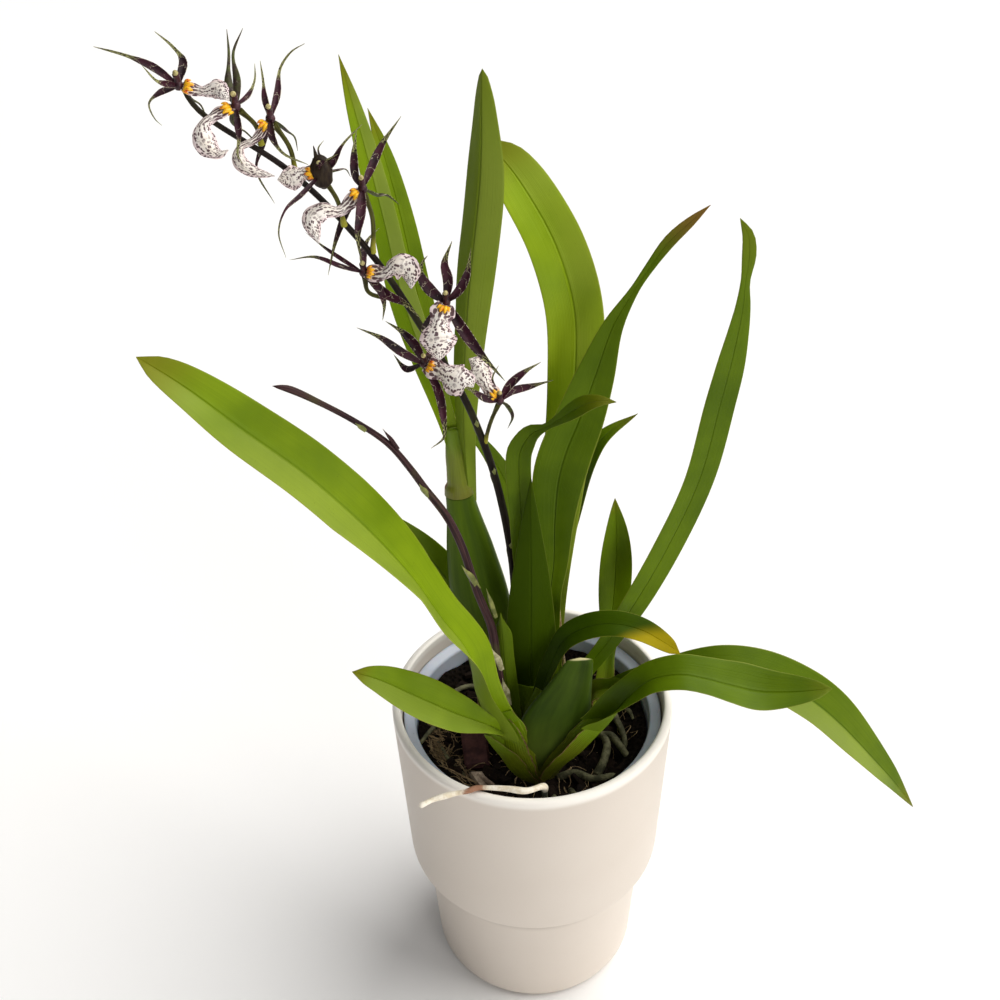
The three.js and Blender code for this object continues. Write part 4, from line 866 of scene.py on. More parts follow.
LEAVES = {
    "leaf_long_left": {
        "points": [(-17.6, -37, 186), (-19.8, -37.1, 194.5), (-23, -37.3, 203.5),
            (-26.6, -37.3, 217.7), (-28.8, -37, 238), (-33.4, -37, 248.7), (-39.6, -37, 259.5),
            (-52.2, -35.5, 283.9), (-68.9, -33.5, 308.4), (-90.7, -31, 333.5), (-114.6, -28.5, 355.1),
            (-134.1, -26, 372.9), (-151, -24, 386)],
        "faces": [(0.93, -0.2, 0.25), (0.88, -0.2, 0.35), (0.67, -0.05, 0.74), (0.45, -0.5, 0.75),
            (0.4, -0.5, 0.75), (0.4, -0.5, 0.75)],
        "widths": ((0, 14), (0.07, 13), (0.14, 12.8), (0.25, 13), (0.42, 15), (0.6, 14.6), (0.8, 13),
            (0.9, 10), (0.965, 6), (1, 0.1)),
        "fold": (76, 22), "finish": FRESH_SHEEN_LEFT, "wave": 0.01,
    },
    "leaf_short_left": {
        "points": [(-15, -38.5, 191.5), (-21.7, -41.5, 199.4), (-26.6, -43, 203.7),
            (-36.2, -46, 212.3), (-46.9, -48, 221.6), (-57.4, -50, 230.8), (-67.5, -52, 239.7),
            (-79, -53, 246)],
        "faces": [(0.4, -0.6, 0.6), (0.3, -0.6, 0.75)],
        "widths": ((0, 3), (0.15, 5.5), (0.35, 9), (0.55, 10.2), (0.75, 8.6), (0.92, 4.5), (1, 0.1)),
        "fold": (50, 20), "finish": FRESH_SHEEN_LEFT, "wave": 0.03,
    },
    "leaf_behind_left": {
        "points": [(-28, 24, 186), (-34, 27, 214), (-44, 28, 236), (-67, 30, 271)],
        "faces": [(0.5, -0.8, 0.2), (0.4, -0.8, 0.5)],
        "shape": (6, 10, 0.45, 2.0),
        "fold": (30, 18), "finish": DEEP, "wave": 0.02,
    },
    "leaf_top_outer": {
        "points": [(-32, 18, 285.7), (-34, 20, 316), (-51.5, 23, 385), (-57, 25, 420),
            (-62.5, 28, 450), (-69, 33, 481)],
        "faces": [(0.35, -0.9, 0.1), (0.5, -0.85, 0.2)],
        "widths": ((0, 3.5), (0.2, 4.6), (0.45, 6.6), (0.62, 6.2), (0.78, 5.2), (0.9, 3.4), (1, 0.1)),
        "fold": (40, 20), "finish": FRESH_SHEEN_RIGHT, "wave": 0.02,
    },
    "leaf_top_inner": {
        "points": [(-31, 22.2, 285.7), (-33, 26, 311), (-45, 34, 375), (-50, 37, 410),
            (-55.5, 40, 438), (-61, 45, 457)],
        "faces": [(0.35, -0.9, 0.1), (0.5, -0.85, 0.2)],
        "widths": ((0, 3.5), (0.2, 4.6), (0.45, 6.6), (0.62, 6.2), (0.78, 5.4), (0.9, 3.6), (1, 0.1)),
        "fold": (40, 20), "finish": FRESH, "wave": 0.02,
    },
    "leaf_tall_centre": {
        "points": [(-27, 14, 285.8), (-28, 14.5, 330), (-24, 13, 385), (-17, 13, 440), (-15, 16, 479)],
        "faces": [(0.2, 0.9, 0), (0.5, 0.85, -0.1), (0.6, 0.8, -0.2)],
        "widths": ((0, 4), (0.2, 5.8), (0.6, 10.2), (0.8, 9.4), (0.93, 5.4), (0.985, 2.2), (1, 0.1)),
        "fold": (48, 30), "finish": FRESH_SHEEN_EDGE, "wave": 0.02,
    },
    "leaf_arching_back": {
        "points": [(10, 11, 190), (11, 18, 229), (16, 27, 280), (21.5, 33, 335), (21.5, 41, 368),
            (14.5, 49, 393), (3.8, 58, 412), (-8, 66, 427), (-18, 71, 434)],
        "faces": [(-0.2, -1, 0), (-0.1, -1, 0.3), (0.2, -0.8, 0.8)],
        "widths": ((0, 6.5), (0.3, 9.5), (0.6, 12.8), (0.82, 12.6), (0.94, 10), (1, 1)),
        "fold": (24, 16), "finish": PALE, "wave": 0.02,
    },
    "leaf_twisted": {
        "points": [(9, 2, 190), (9.5, 3, 242), (11, 6, 256), (11.6, 9, 278.5), (13.3, 11, 299.3),
            (16.8, 12, 314), (22.8, 14, 330), (29.2, 15.5, 350), (36.2, 17, 372.2), (43.6, 18, 386),
            (50.2, 18, 397.4), (58, 18, 409), (65.5, 18, 416.6), (73.2, 18, 423.5)],
        "faces": [(-0.1, -1, 0), (-0.15, -1, 0), (-0.2, -1, 0), (-0.35, -1, 0.1)],
        "widths": ((0, 5), (0.2, 5.4), (0.26, 6.8), (0.353, 9.2), (0.436, 11.7), (0.49, 12),
            (0.56, 11), (0.65, 8.6), (0.746, 4.5), (0.816, 2), (0.86, 2), (0.917, 2.6), (0.96, 2),
            (1, 0.1)),
        "fold": (20, 12), "finish": BROWN_TIPPED, "wave": 0.015,
    },
    "leaf_bent": {
        "points": [(1, -3, 190), (-2, -4, 250), (-3.6, -4, 288), (-4.3, -4, 323), (-2.3, -4.5, 329),
            (1.2, -6, 335), (6.5, -9, 339.5), (11.8, -12, 344.7), (18.1, -15, 351), (22.8, -17, 354.9),
            (28.1, -19, 357.3), (34.6, -20, 357.3)],
        "faces": [(-0.1, -1, 0), (-0.1, -1, 0.1), (-0.1, -1, 0.1), (-0.2, -0.9, 0.5), (-0.1, -0.5, 0.9)],
        "widths": ((0, 5), (0.315, 5), (0.514, 5.6), (0.698, 5.7), (0.731, 5.2), (0.769, 4),
            (0.808, 1.7), (0.85, 2.3), (0.9, 3.9), (0.933, 4), (0.966, 2.5), (1, 0.1)),
        "fold": (20, 14), "finish": DEEP, "wave": 0.02,
    },
    "leaf_pointed": {
        "points": [(-0.5, -11, 186), (-0.6, -12, 225), (-0.2, -12, 265), (0, -11, 300), (0.4, -10, 315.5)],
        "faces": [(0, 1, 0), (0.1, 1, 0.1)],
        "shape": (10.2, 12.4, 0.3, 1.35),
        "fold": (20, 16), "finish": DARK, "wave": 0.01,
    },
    "leaf_behind_right": {
        "points": [(12, 19, 190), (13, 25, 225), (19, 30, 265), (34, 36, 303), (52, 42, 314)],
        "faces": [(-0.4, -0.9, 0), (-0.6, -0.6, 0.6)],
        "shape": (5, 8, 0.5, 2.0),
        "fold": (30, 20), "finish": DEEP, "wave": 0.02,
    },
    "leaf_small_right": {
        "points": [(38, 12, 190), (41, 19, 221), (42, 24, 256), (41, 27, 277)],
        "faces": [(0, -1, 0.1), (0, -1, 0.2)],
        "shape": (4.5, 8.6, 0.5, 2.2),
        "fold": (34, 22), "finish": FRESH, "wave": 0.02,
    },
    "leaf_behind_spike": {
        "points": [(2, 9, 190), (0, 12, 230), (-5, 16, 277), (-17, 19, 308), (-33, 23, 328)],
        "faces": [(0.1, -1, 0), (0.5, -0.6, 0.6)],
        "shape": (5, 7, 0.5, 2.0),
        "fold": (30, 20), "finish": DEEP, "wave": 0.02,
    },
    "leaf_long_right": {
        "points": [(22, -4, 191), (37, -3, 215), (50.2, 0, 238.1), (63.3, 6, 262.7), (77, 13, 296.1),
            (84.5, 19, 332), (87.8, 20, 352), (90.8, 22, 375.3), (91.1, 23, 386.7), (91.8, 24, 399.2),
            (90.8, 25, 407.4), (87.1, 26, 414.4)],
        "faces": [(0.3, -1, 0.2), (0.3, -1, 0), (0.3, -1, 0), (0.2, -1, 0)],
        "widths": ((0, 5), (0.117, 6), (0.228, 7.6), (0.5, 8), (0.64, 7.8), (0.728, 7), (0.8, 5),
            (0.84, 3.6), (0.885, 2.2), (0.93, 3.2), (0.967, 2.5), (1, 0.1)),
        "fold": (14, 5), "finish": MID, "wave": 0.02,
    },
    "leaf_yellow_tip": {
        "points": [(3, -15, 187), (9, -16, 212), (16, -17, 229.5), (26.5, -18.5, 237.5),
            (38.5, -20.5, 240), (49.8, -22.5, 237.5), (59.9, -24.5, 231.5), (67.5, -25.5, 225.5)],
        "faces": [(-0.8, -0.5, 0), (-0.8, -0.5, 0.4), (0, -0.5, 0.8), (0.4, -0.5, 0.75)],
        "widths": ((0, 4.5), (0.35, 5.8), (0.6, 6.4), (0.8, 6), (0.94, 3.8), (1, 0.1)),
        "fold": (34, 18), "finish": YELLOWED, "wave": 0.03,
    },
    "leaf_front_right": {
        "points": [(31, -37, 188.5), (35.2, -37.2, 195), (40.5, -38.5, 207), (46.3, -41, 218.5),
            (53.1, -42, 225.5), (64.8, -43.5, 229.2), (75.1, -44, 227.2), (86.6, -44.5, 223.2),
            (101.1, -45.5, 219.3), (116.3, -47, 220), (132.5, -48, 222.5)],
        "faces": [(-0.74, -0.1, 0.66), (-0.5, -0.3, 0.75), (0, -0.3, 0.95), (0.1, -0.3, 0.95),
            (0, -0.3, 0.95)],
        "widths": ((0, 13.5), (0.1, 11.6), (0.27, 8.6), (0.5, 10), (0.7, 12), (0.85, 9), (0.95, 4.6),
            (1, 0.1)),
        "fold": (76, 22), "finish": MID, "wave": 0.03,
    },
    "leaf_drooping_right": {
        "points": [(40, -4, 184), (54, -12, 198), (91, -15, 207), (133, -14, 184), (179, -15, 131),
            (199, -16, 103)],
        "faces": [(-0.5, -0.4, 0.7), (0, -0.4, 0.9), (0.3, -0.5, 0.8), (0.5, -0.5, 0.7)],
        "shape": (5.5, 14, 0.52, 1.9),
        "fold": (40, 20), "finish": DEEP_SHEEN_RIGHT, "wave": 0.02,
    },
}

LEAF_THICKNESS = 0.9
LEAF_TIP_HALF = 0.05
LEAF_ROWS = 72
LEAF_COLUMNS = 36


def leaf_widths(base, full, peak, blunt):
    """Half width of a leaf: at its foot, at its fullest place, and on to a narrow tip."""

    def half(t):
        if t < peak:
            return mix(base, full, smooth(t / peak))
        return mix(full, LEAF_TIP_HALF, ((t - peak) / (1 - peak)) ** blunt)

    return half


def build_leaf(name, leaf):
    base_fold, fold = leaf["fold"]
    half = outline(*leaf["widths"]) if "widths" in leaf else leaf_widths(*leaf["shape"])
    crease = stops((0, base_fold), (0.35, fold), (1, fold * 0.8))
    bm = bmesh.new()
    blade(
        bm, Path(leaf["points"]), leaf["faces"], half, crease, LEAF_THICKNESS, LEAF_ROWS, LEAF_COLUMNS,
        wave=leaf["wave"], waves=2.5 + rng.random() * 2,
    )
    piece(name + "_blade", bm, "leaf_green", name, leaf["finish"])


# Growths: bulbs with the sheaths that clasp them

# Where a growth stands in the mix, x and y, and its half width
SOCKETS = {"back": (-22, 5, 12), "centre": (9, -1, 10), "right": (34, 4, 8)}

GROWTH_LEAVES = {
    "back": ["leaf_behind_left"],
    "centre": [
        "leaf_arching_back", "leaf_twisted", "leaf_bent", "leaf_pointed", "leaf_behind_right",
        "leaf_behind_spike", "leaf_long_right", "leaf_yellow_tip",
    ],
    "right": ["leaf_small_right", "leaf_drooping_right"],
}

# The sheaths that clasp the front bulb: two for the left leaves and one for the right leaf
CLASPING_SHEATHS = [
    {
        "points": [(1, -35, 151), (-5.9, -36.5, 158.5), (-10.6, -37, 165.1), (-15.4, -37, 175.7),
            (-16.8, -37, 188.6), (-20, -37.3, 201)],
        "faces": [(0.85, -0.1, 0.45), (0.95, -0.1, 0.3), (0.93, -0.2, 0.25)],
        "widths": ((0, 5), (0.18, 10), (0.33, 14.5), (0.54, 16.4), (0.77, 14.4), (1, 11)),
    },
    {
        "points": [(1, -35.4, 150.5), (-6.9, -37.3, 158), (-11.8, -37.8, 165), (-15.6, -38, 173.5),
            (-20, -38.3, 182), (-23.5, -38.6, 190)],
        "faces": [(0.85, -0.1, 0.45), (0.95, -0.1, 0.3), (0.9, -0.3, 0.3)],
        "widths": ((0, 5), (0.3, 9.5), (0.6, 11.5), (0.85, 8), (1, 4)),
    },
    {
        "points": [(3, -35, 151), (13, -36.5, 164.8), (21.5, -37, 174.8), (28.4, -37, 184.7),
            (34.4, -37, 193.4)],
        "faces": [(-0.74, -0.1, 0.66), (-0.74, -0.1, 0.66)],
        "widths": ((0, 4), (0.3, 9), (0.53, 11), (0.75, 12.2), (0.9, 11), (1, 6)),
    },
]
SHEATH_FOLD = 76

FRONT_BULB_POINTS = [
    (4, -31, 149), (6.6, -31, 165), (8.8, -31, 182), (10.8, -31, 192), (13.6, -31, 201.5), (17.4, -31, 214),
    (20.8, -30.5, 226), (21.2, -30.5, 229.5),
]
BACK_BULB_POINTS = [(-17, 6, 148), (-20, 11, 200), (-27, 16, 250), (-31, 16.5, 285), (-31.6, 16.6, 292)]
COLLAR_POINTS = [(-31.4, 16.5, 289), (-31.6, 16.6, 292), (-32, 17.2, 304), (-33.4, 18.6, 324)]
INNER_BRACT_POINTS = [
    (-9, -15, 168), (-11.6, -15, 188.7), (-13.1, -15, 208.6), (-13.8, -15, 228), (-14.4, -15, 244),
]


def growth_sheath(bm, growth, name):
    """The folded leaf base that runs from the mix up to a leaf's blade."""
    leaf = LEAVES[name]
    x, y, wide = SOCKETS[growth]
    start = Vector(leaf["points"][0])
    rise = (Vector(leaf["points"][1]) - start).normalized()
    foot = Vector((mix(x, start.x, 0.2), mix(y, start.y, 0.2), MIX_TOP_Z - 2))
    path = Path([foot, start - rise * 13, start, start + rise * 8])
    base = leaf["shape"][0] if "shape" in leaf else leaf["widths"][0][1]
    half = stops((0, wide * 0.55), (0.6, base * 1.25), (1, base * 0.9))
    crease = stops((0, 30), (1, leaf["fold"][0]))
    blade(bm, path, facing(*leaf["faces"][0]), half, crease, 2.2, 26, 24, finish=1, wave=0.03)


def build_front_growth():
    bm = bmesh.new()
    width = outline((0, 4.5), (0.3, 14), (0.47, 17), (0.61, 14.8), (0.78, 10.6), (0.95, 6.8), (1, 5.6))
    depth = stops((0, 2.2), (0.5, 4.6), (0.8, 3.4), (0.95, 1.6), (1, 0.7))
    rod(bm, Path(FRONT_BULB_POINTS), facing(0.15, -1, 0.1), width, depth, 56, 40)
    for sheath in CLASPING_SHEATHS:
        blade(
            bm, Path(sheath["points"]), sheath["faces"], outline(*sheath["widths"]), lambda t: SHEATH_FOLD,
            1.0, 44, 36, finish=1, wave=0.015, waves=5,
        )
    piece("growth_front_body", bm, "bulb_green", "growth_front", BULB, SHEATH)


def build_back_growth():
    bm = bmesh.new()
    faces = facing(0.1, -1, 0.1)
    width = outline((0, 6), (0.3, 11.5), (0.55, 14), (0.75, 11.4), (0.93, 7.2), (1, 6.4))
    depth = stops((0, 6), (0.5, 9.4), (0.9, 6.4), (1, 5.6))
    rod(bm, Path(BACK_BULB_POINTS), faces, width, depth, 56, 32)
    width = stops((0, 7), (0.12, 6.6), (0.2, 5.2), (0.5, 4.8), (1, 3.2))
    depth = stops((0, 6.4), (0.12, 6), (0.2, 4.6), (0.5, 3.6), (1, 1.4))
    rod(bm, Path(COLLAR_POINTS), faces, width, depth, 30, 28, 1)
    for name in GROWTH_LEAVES["back"]:
        growth_sheath(bm, "back", name)
    piece("growth_back_body", bm, "bulb_green", "growth_back", BACK_BULB, SHEATH)


def build_sheath_growth(growth):
    bm = bmesh.new()
    for name in GROWTH_LEAVES[growth]:
        growth_sheath(bm, growth, name)
    if growth == "centre":
        half = stops((0, 4.5), (0.4, 5.6), (0.8, 5), (1, 0.3))
        blade(bm, Path(INNER_BRACT_POINTS), facing(0.2, 1, 0), half, lambda t: 30, 0.9, 26, 22, 2)
    piece(f"growth_{growth}_body", bm, "bulb_green", f"growth_{growth}", BULB, SHEATH, DEEP)


# Blooms, from the tip of the spike down. "at" is the middle, and petals (points and half
# width) and lip are points from there. The stalk runs from "foot" through "bow". The first
# petals, as many as "turned" says, show their outer face.

BLOOMS = [
    {
        "at": (-115, -30, 489),
        "petals": [
            ([(-7, 5, 3), (-14, 8, 5), (-27, 13, 2)], 2.2),
            ([(1, 9, -3), (-3, 15, -5), (-8, 19, -2)], 2.5),
            ([(-5, -1, 8), (-8, 2, 14)], 1.8),
            ([(-8, 0, -6), (-13, -2, -11), (-12, -6, -14), (-10, -8, -15)], 1.7),
            ([(1, -1, -9), (3, -1, -17), (4, -5, -22)], 1.8),
        ],
        "lip": [(8, -2, 1), (13, -2, 3), (16, -5, 4), (17, -6, 2)], "lip_half": 3.6,
    },
    {
        "turned": 2, "at": (-97, -31, 482), "foot": (-91, -27, 467), "bow": (-92, -27, 474),
        "petals": [
            ([(-3, 8, -3), (-3, 20, -5), (-3, 27, -3)], 2.5),
            ([(1, 8, 3), (1, 15, 7), (5, 22, 10)], 2.2),
            ([(-3, -3, -8), (0, -4, -15), (4, -8, -19)], 1.8),
            ([(1, -10, 1), (1, -17, 4), (3, -21, 7)], 2),
            ([(2, 6, -9), (3, 15, -18), (2, 23, -24)], 1.8),
        ],
        "lip": [(-7, -4, 4), (-10, -8, 6), (-8, -15, 8), (-4, -18, 9), (-1, -17, 9)], "lip_half": 4.2,
    },
    {
        "at": (-87, -26, 476), "foot": (-81, -25, 456), "bow": (-82, -24, 465),
        "petals": [
            ([(-1, 6, 4), (-1, 11, 6), (-2, 18, 5)], 1.8),
            ([(2, 9, -3), (3, 19, -5), (7, 24, -4), (12, 26, -2)], 2),
            ([(2, -9, 7), (6, -15, 10), (14, -19, 11)], 2.2),
            ([(-5, -6, -10), (-8, -13, -14), (-2, -25, -14)], 1.8),
            ([(3, -1, -9), (5, -1, -18), (5, -4, -24)], 1.8),
        ],
        "lip": [(-5, -7, 2), (-10, -10, 3), (-10, -15, 5), (-5, -19, 6), (2, -21, 6)], "lip_half": 2.8,
    },
    {
        "at": (-71, -34, 459), "foot": (-66, -24, 436), "bow": (-67, -29, 448),
        "petals": [
            ([(4, 3, 1), (8, 9, 3), (15, 16, 3)], 1.8),
            ([(0, 2, 4), (7, 5, 7)], 1.5),
            ([(-6, -8, 5), (-11, -14, 9), (-13, -22, 11), (-11, -30, 10)], 1.5),
            ([(5, 3, -6), (7, 5, -12), (8, 4, -18)], 1.5),
            ([(-1, 7, -8), (-3, 14, -17), (-2, 19, -24)], 1.5),
        ],
        "lip": [(-5, 1, 0), (-9, 0, 0), (-15, -1, -1)], "lip_half": 4.8,
    },
    {
        "at": (-58, -27, 451), "foot": (-57, -22, 424), "bow": (-56, -22, 438),
        "petals": [
            ([(-2, 4, 3), (-2, 11, 5), (-1, 19, 5)], 1.9),
            ([(3, 8, -3), (7, 17, -5), (14, 26, -3)], 2),
            ([(0, -11, 8), (-1, -19, 10), (0, -28, 9)], 2.3),
            ([(-7, -4, -13), (-12, -14, -17), (-15, -27, -15)], 1.8),
            ([(4, 0, -10), (7, 2, -18), (11, 0, -24)], 1.8),
        ],
        "lip": [(-8, -8, 3), (-13, -8, 5), (-17, -11, 6), (-15, -20, 6)], "lip_half": 4.1,
    },
    {
        "at": (-61, -22, 417), "foot": (-48, -19, 404), "bow": (-60, -18, 407),
        "petals": [
            ([(-8, 2, 4), (-17, 5, 7), (-26, 4, 8)], 1.2),
            ([(-7, 5, -3), (-15, 11, -5), (-22, 17, -6)], 1.1),
            ([(5, -5, 1), (7, -11, -2), (6, -17, -5)], 1.8),
            ([(8, -8, -1), (15, -12, 1), (21, -18, 3)], 2.3),
            ([(-1, 9, -10), (0, 16, -18), (4, 22, -24)], 1.8),
        ],
        "lip": [(8, -1, 6), (12, 1, 9), (17, -1, 10), (18, -8, 9)], "lip_half": 5.4,
    },
    {
        "at": (-31, -26, 406), "foot": (-38, -15, 384), "bow": (-34, -18, 394),
        "petals": [
            ([(-6, 5, 2), (-9, 10, 5), (-8, 14, 7), (-6, 16, 8)], 2.8),
            ([(1, 8, 1), (0, 14, 3), (3, 22, 4)], 2.5),
            ([(5, 4, 2), (8, 9, 4), (10, 19, 5)], 2.2),
            ([(5, -9, 1), (11, -18, 2), (21, -30, 2)], 2.8),
            ([(-6, -6, -4), (-9, -9, -8), (-9, -14, -12)], 2.5),
        ],
        "lip": [(-2, -6, 4), (-3, -12, 6), (-3, -17, 6), (-3, -22, 4)], "lip_half": 7.6,
    },
    {
        "at": (-41, -22, 378), "foot": (-31, -12, 366), "bow": (-37, -16, 370),
        "petals": [
            ([(-9, 5, 3), (-16, 10, 6), (-25, 14, 7)], 2.2),
            ([(-3, 7, -3), (-8, 13, -5), (-15, 18, -5)], 2.5),
            ([(-7, -1, -7), (-13, 6, -14)], 1.8),
            ([(5, -10, 0), (7, -21, 3), (7, -29, 5), (2, -33, 6)], 2.3),
            ([(2, 5, -10), (5, 8, -18), (6, 14, -24)], 2),
        ],
        "lip": [(8, -4, 6), (13, -7, 8), (17, -8, 8), (19, -10, 6)], "lip_half": 7.0,
    },
    {
        "at": (-12, -16, 357), "foot": (-19, -2, 328), "bow": (-16, -9, 343),
        "petals": [
            ([(4, 6, 2), (10, 11, 3), (17, 15, 2)], 2.2),
            ([(5, 4, -3), (13, 6, -4), (22, 8, -2)], 2.1),
            ([(-6, 1, 4), (-11, 4, 6), (-15, 6, 7)], 2),
            ([(3, -2, -8), (5, -6, -16), (3, -10, -20)], 1.8),
            ([(-2, 5, -10), (-3, 11, -19), (0, 17, -24)], 1.8),
        ],
        "lip": [(-5, 6, 3), (-7, 11, 4), (-9, 15, 4), (-12, 17, 3)], "lip_half": 5.2,
    },
]

CORE_RADIUS = 2.2
PETAL_ROOT_SHARE = 0.4
PETAL_THICKNESS = 0.55
SLENDER_BLOOMS = 4
CUPPED_BLOOM = 4
CUP_POINTS = [(-70.2, -32.5, 453.5), (-70.6, -33, 457), (-70.9, -33, 461.5), (-70.6, -32, 465.5)]
CUP_LOBES = [[(-71.6, -33.5, 462.5), (-72.6, -33, 469)], [(-69.4, -33, 461.5), (-64.8, -32, 466)]]
FLOWER_TURN = Matrix.Rotation(BLOOM_LEAN, 3, "X")

# Callus teeth: how far each stands to the side, how far it reaches and its radius
CALLUS_TEETH = [(-0.75, 5.6, 0.85), (0.75, 5.6, 0.85), (-1.9, 4.2, 0.6), (1.9, 4.2, 0.6)]

# Shares of the full half width along a petal and a lip
SLENDER_SHARE = outline(
    (0, 0.35), (0.14, 0.62), (0.28, 0.7), (0.42, 0.52), (0.54, 0.3), (0.8, 0.2), (1, 0.05)
)
PETAL_SHARE = outline(
    (0, 0.35), (0.16, 0.74), (0.36, 0.85), (0.55, 0.7), (0.75, 0.36), (0.9, 0.18), (1, 0.04)
)
LIP_SHARE = outline((0, 0.4), (0.14, 0.64), (0.28, 0.56), (0.38, 0.56), (0.62, 1), (0.84, 0.64), (1, 0.03))
PETAL_FOLD = stops((0, 34), (0.45, 22), (1, 40))
LIP_FOLD = stops((0, 20), (0.3, -26), (1, -18))


def petal_face(points):
    """The way a petal's face looks: out of the flower, tipped so that it is never end on."""
    last = Vector(points[-1]).normalized()
    face = Vector((0, 0, 1)) - last * last.z
    return face if face.length >= 0.5 else Vector((0.3, 1, 0))


def placed(bloom, points):
    """A path through points that are given from the middle of a bloom."""
    return Path([Vector(bloom["at"]) + FLOWER_TURN @ Vector(p) for p in points])


def swelling(radius, start, length):
    """A radius that swells and falls, like part of half a wave."""
    return lambda t: radius * math.sin(math.pi * (start + length * t))


def green_cup(bm):
    """The half-open green cup behind one bloom, with two free lobes."""
    girth = stops((0, 1), (0.25, 3.4), (0.6, 4), (0.85, 2.8), (1, 1))
    rod(bm, Path(CUP_POINTS), FRONT, girth, None, 24, 22, 3)
    for points in CUP_LOBES:
        rod(bm, Path(points), FRONT, lambda t: 1.3 - 1.2 * t, lambda t: 0.5, 10, 10, 3)


def build_petals(number, bloom):
    """The five petals of a bloom, with its heart, its column and the column's pale cap."""
    bm = bmesh.new()
    share = SLENDER_SHARE if number <= SLENDER_BLOOMS else PETAL_SHARE
    for order, (points, half) in enumerate(bloom["petals"]):
        start = Vector(points[0]).normalized() * CORE_RADIUS * PETAL_ROOT_SHARE
        face = FLOWER_TURN @ petal_face(points)
        if order < bloom.get("turned", 0):
            face = -face
        path = placed(bloom, [start, *points])
        blade(bm, path, [face, face], lambda t: half * share(t), PETAL_FOLD, PETAL_THICKNESS, 30, 16)
    if number == CUPPED_BLOOM:
        green_cup(bm)
    heart = placed(bloom, [(0, -1.4, -0.6), (0, 0, 0.2), (0, 1.6, 1.2)])
    rod(bm, heart, FRONT, swelling(1.7, 0.15, 0.7), None, 12, 14, 1)
    column = placed(bloom, [(0, 0.4, 0.6), (0, 2.0, 2.0), (0, 2.8, 3.6)])
    rod(bm, column, FRONT, lambda t: 1.05 + 0.25 * t, None, 12, 14, 1)
    cap = placed(bloom, [(0, 2.3, 3.1), (0, 2.9, 3.9), (0, 3.1, 4.9)])
    rod(bm, cap, FRONT, swelling(0.95, 0.12, 0.76), None, 12, 14, 2)
    piece(f"bloom_{number}_petals", bm, "tepal_maroon", f"bloom_{number}", TEPAL, COLUMN, CAP, CUP)


def build_lip(number, bloom):
    """The lip of a bloom, a ruffled blade with four callus teeth at its throat."""
    bm = bmesh.new()
    ahead = Vector(bloom["lip"][0]).normalized()
    face = FLOWER_TURN @ petal_face(bloom["lip"])
    blade(
        bm, placed(bloom, [ahead * 1.2, *bloom["lip"]]), [face, face],
        lambda t: bloom["lip_half"] * LIP_SHARE(t), LIP_FOLD, PETAL_THICKNESS, 44, 32, wave=0.09, waves=6,
    )
    sideways = ahead.cross(Vector((0, 0, 1))).normalized()
    for across, reach, girth in CALLUS_TEETH:
        tooth = placed(bloom, [
            ahead * 1.8 + sideways * across * 0.7,
            ahead * (1.0 + reach * 0.5) + sideways * across + Vector((0, 0, 1.5)),
            ahead * reach + sideways * across * 1.25 + Vector((0, 0, 0.9)),
        ])
        rod(bm, tooth, FRONT, swelling(girth, 0.14, 0.8), None, 12, 12, 1)
    piece(f"lip_{number}_blade", bm, "lip_cream", f"lip_{number}", LIP, CALLUS)


# Spikes

JOINT_PLACES = (0.3, 0.42, 0.5, 0.58)
JOINT_BRACT_LENGTH = 0.03
STALK_GIRTH = stops((0, 1.25), (0.25, 0.85), (0.7, 0.85), (1, 1.2))
STALK_GAP = 1.4
SPIKE_POINTS = [
    (-6, -5, 148), (-7, 3, 211), (-8, 6, 255), (-13, 4, 296), (-19, -2, 327), (-27, -9, 356), (-41, -16, 390),
    (-58, -22, 425), (-82, -26, 457), (-109, -30, 480), (-114.4, -30, 488),
]
BUD_SPIKE_POINTS = [
    (-12, -19, 148), (-13, -18.5, 178), (-14.7, -18, 194), (-17, -17, 217), (-18.7, -14.5, 234.8),
    (-24.8, -11, 254.3), (-30.7, -8, 277.7), (-36.5, -6.5, 293), (-45.5, -6.5, 309), (-50.8, -8, 320.1),
    (-59, -11, 335), (-71.3, -14.5, 348.5), (-84.6, -18.5, 360.5), (-94.9, -21.5, 368.5), (-101, -23, 371),
]
# Bracts on the bare spike: points, half width and finish
BUD_SPIKE_BRACTS = [
    ([(-24.6, -12, 255.5), (-27.8, -12.6, 263.4), (-31.2, -13, 271)], 2.2, 1),
    ([(-44.2, -8, 305), (-46.4, -9.2, 309.5), (-47.4, -9.5, 313.4)], 1.9, 1),
    ([(-55.3, -11, 331.8), (-57.9, -12, 337.5), (-60.6, -12, 343)], 1.3, 0),
    ([(-67.6, -15, 343.6), (-69.3, -16, 346), (-71, -16, 348.6)], 1.6, 1),
    ([(-16.9, -15.5, 241.5), (-18.7, -16.2, 250), (-20.4, -16.4, 260)], 1.6, 1),
    ([(-15.6, -19, 211.5), (-17, -19.8, 218.9), (-18.9, -20, 227)], 2.6, 2),
    ([(-12.6, -20.5, 189.5), (-13.7, -21.4, 198.7), (-14.4, -22, 210)], 2.8, 2),
]


def joint_bract(bm, path, t, radius):
    """A bract that clasps the spike above a joint and ends in a free point."""
    start, end = path.place(t), path.place(t + JOINT_BRACT_LENGTH)
    out = Vector((0.35, -1, 0.25)).normalized()
    middle = start.lerp(end, 0.5)
    points = [start + out * radius * 0.2, middle + out * radius * 0.75, end + out * radius * 1.7]
    half = stops((0, radius * 1.15), (0.4, radius * 1.3), (1, 0.15))
    blade(bm, Path(points), [-out, -out], half, lambda t: 48, 0.45, 14, 14, 2)


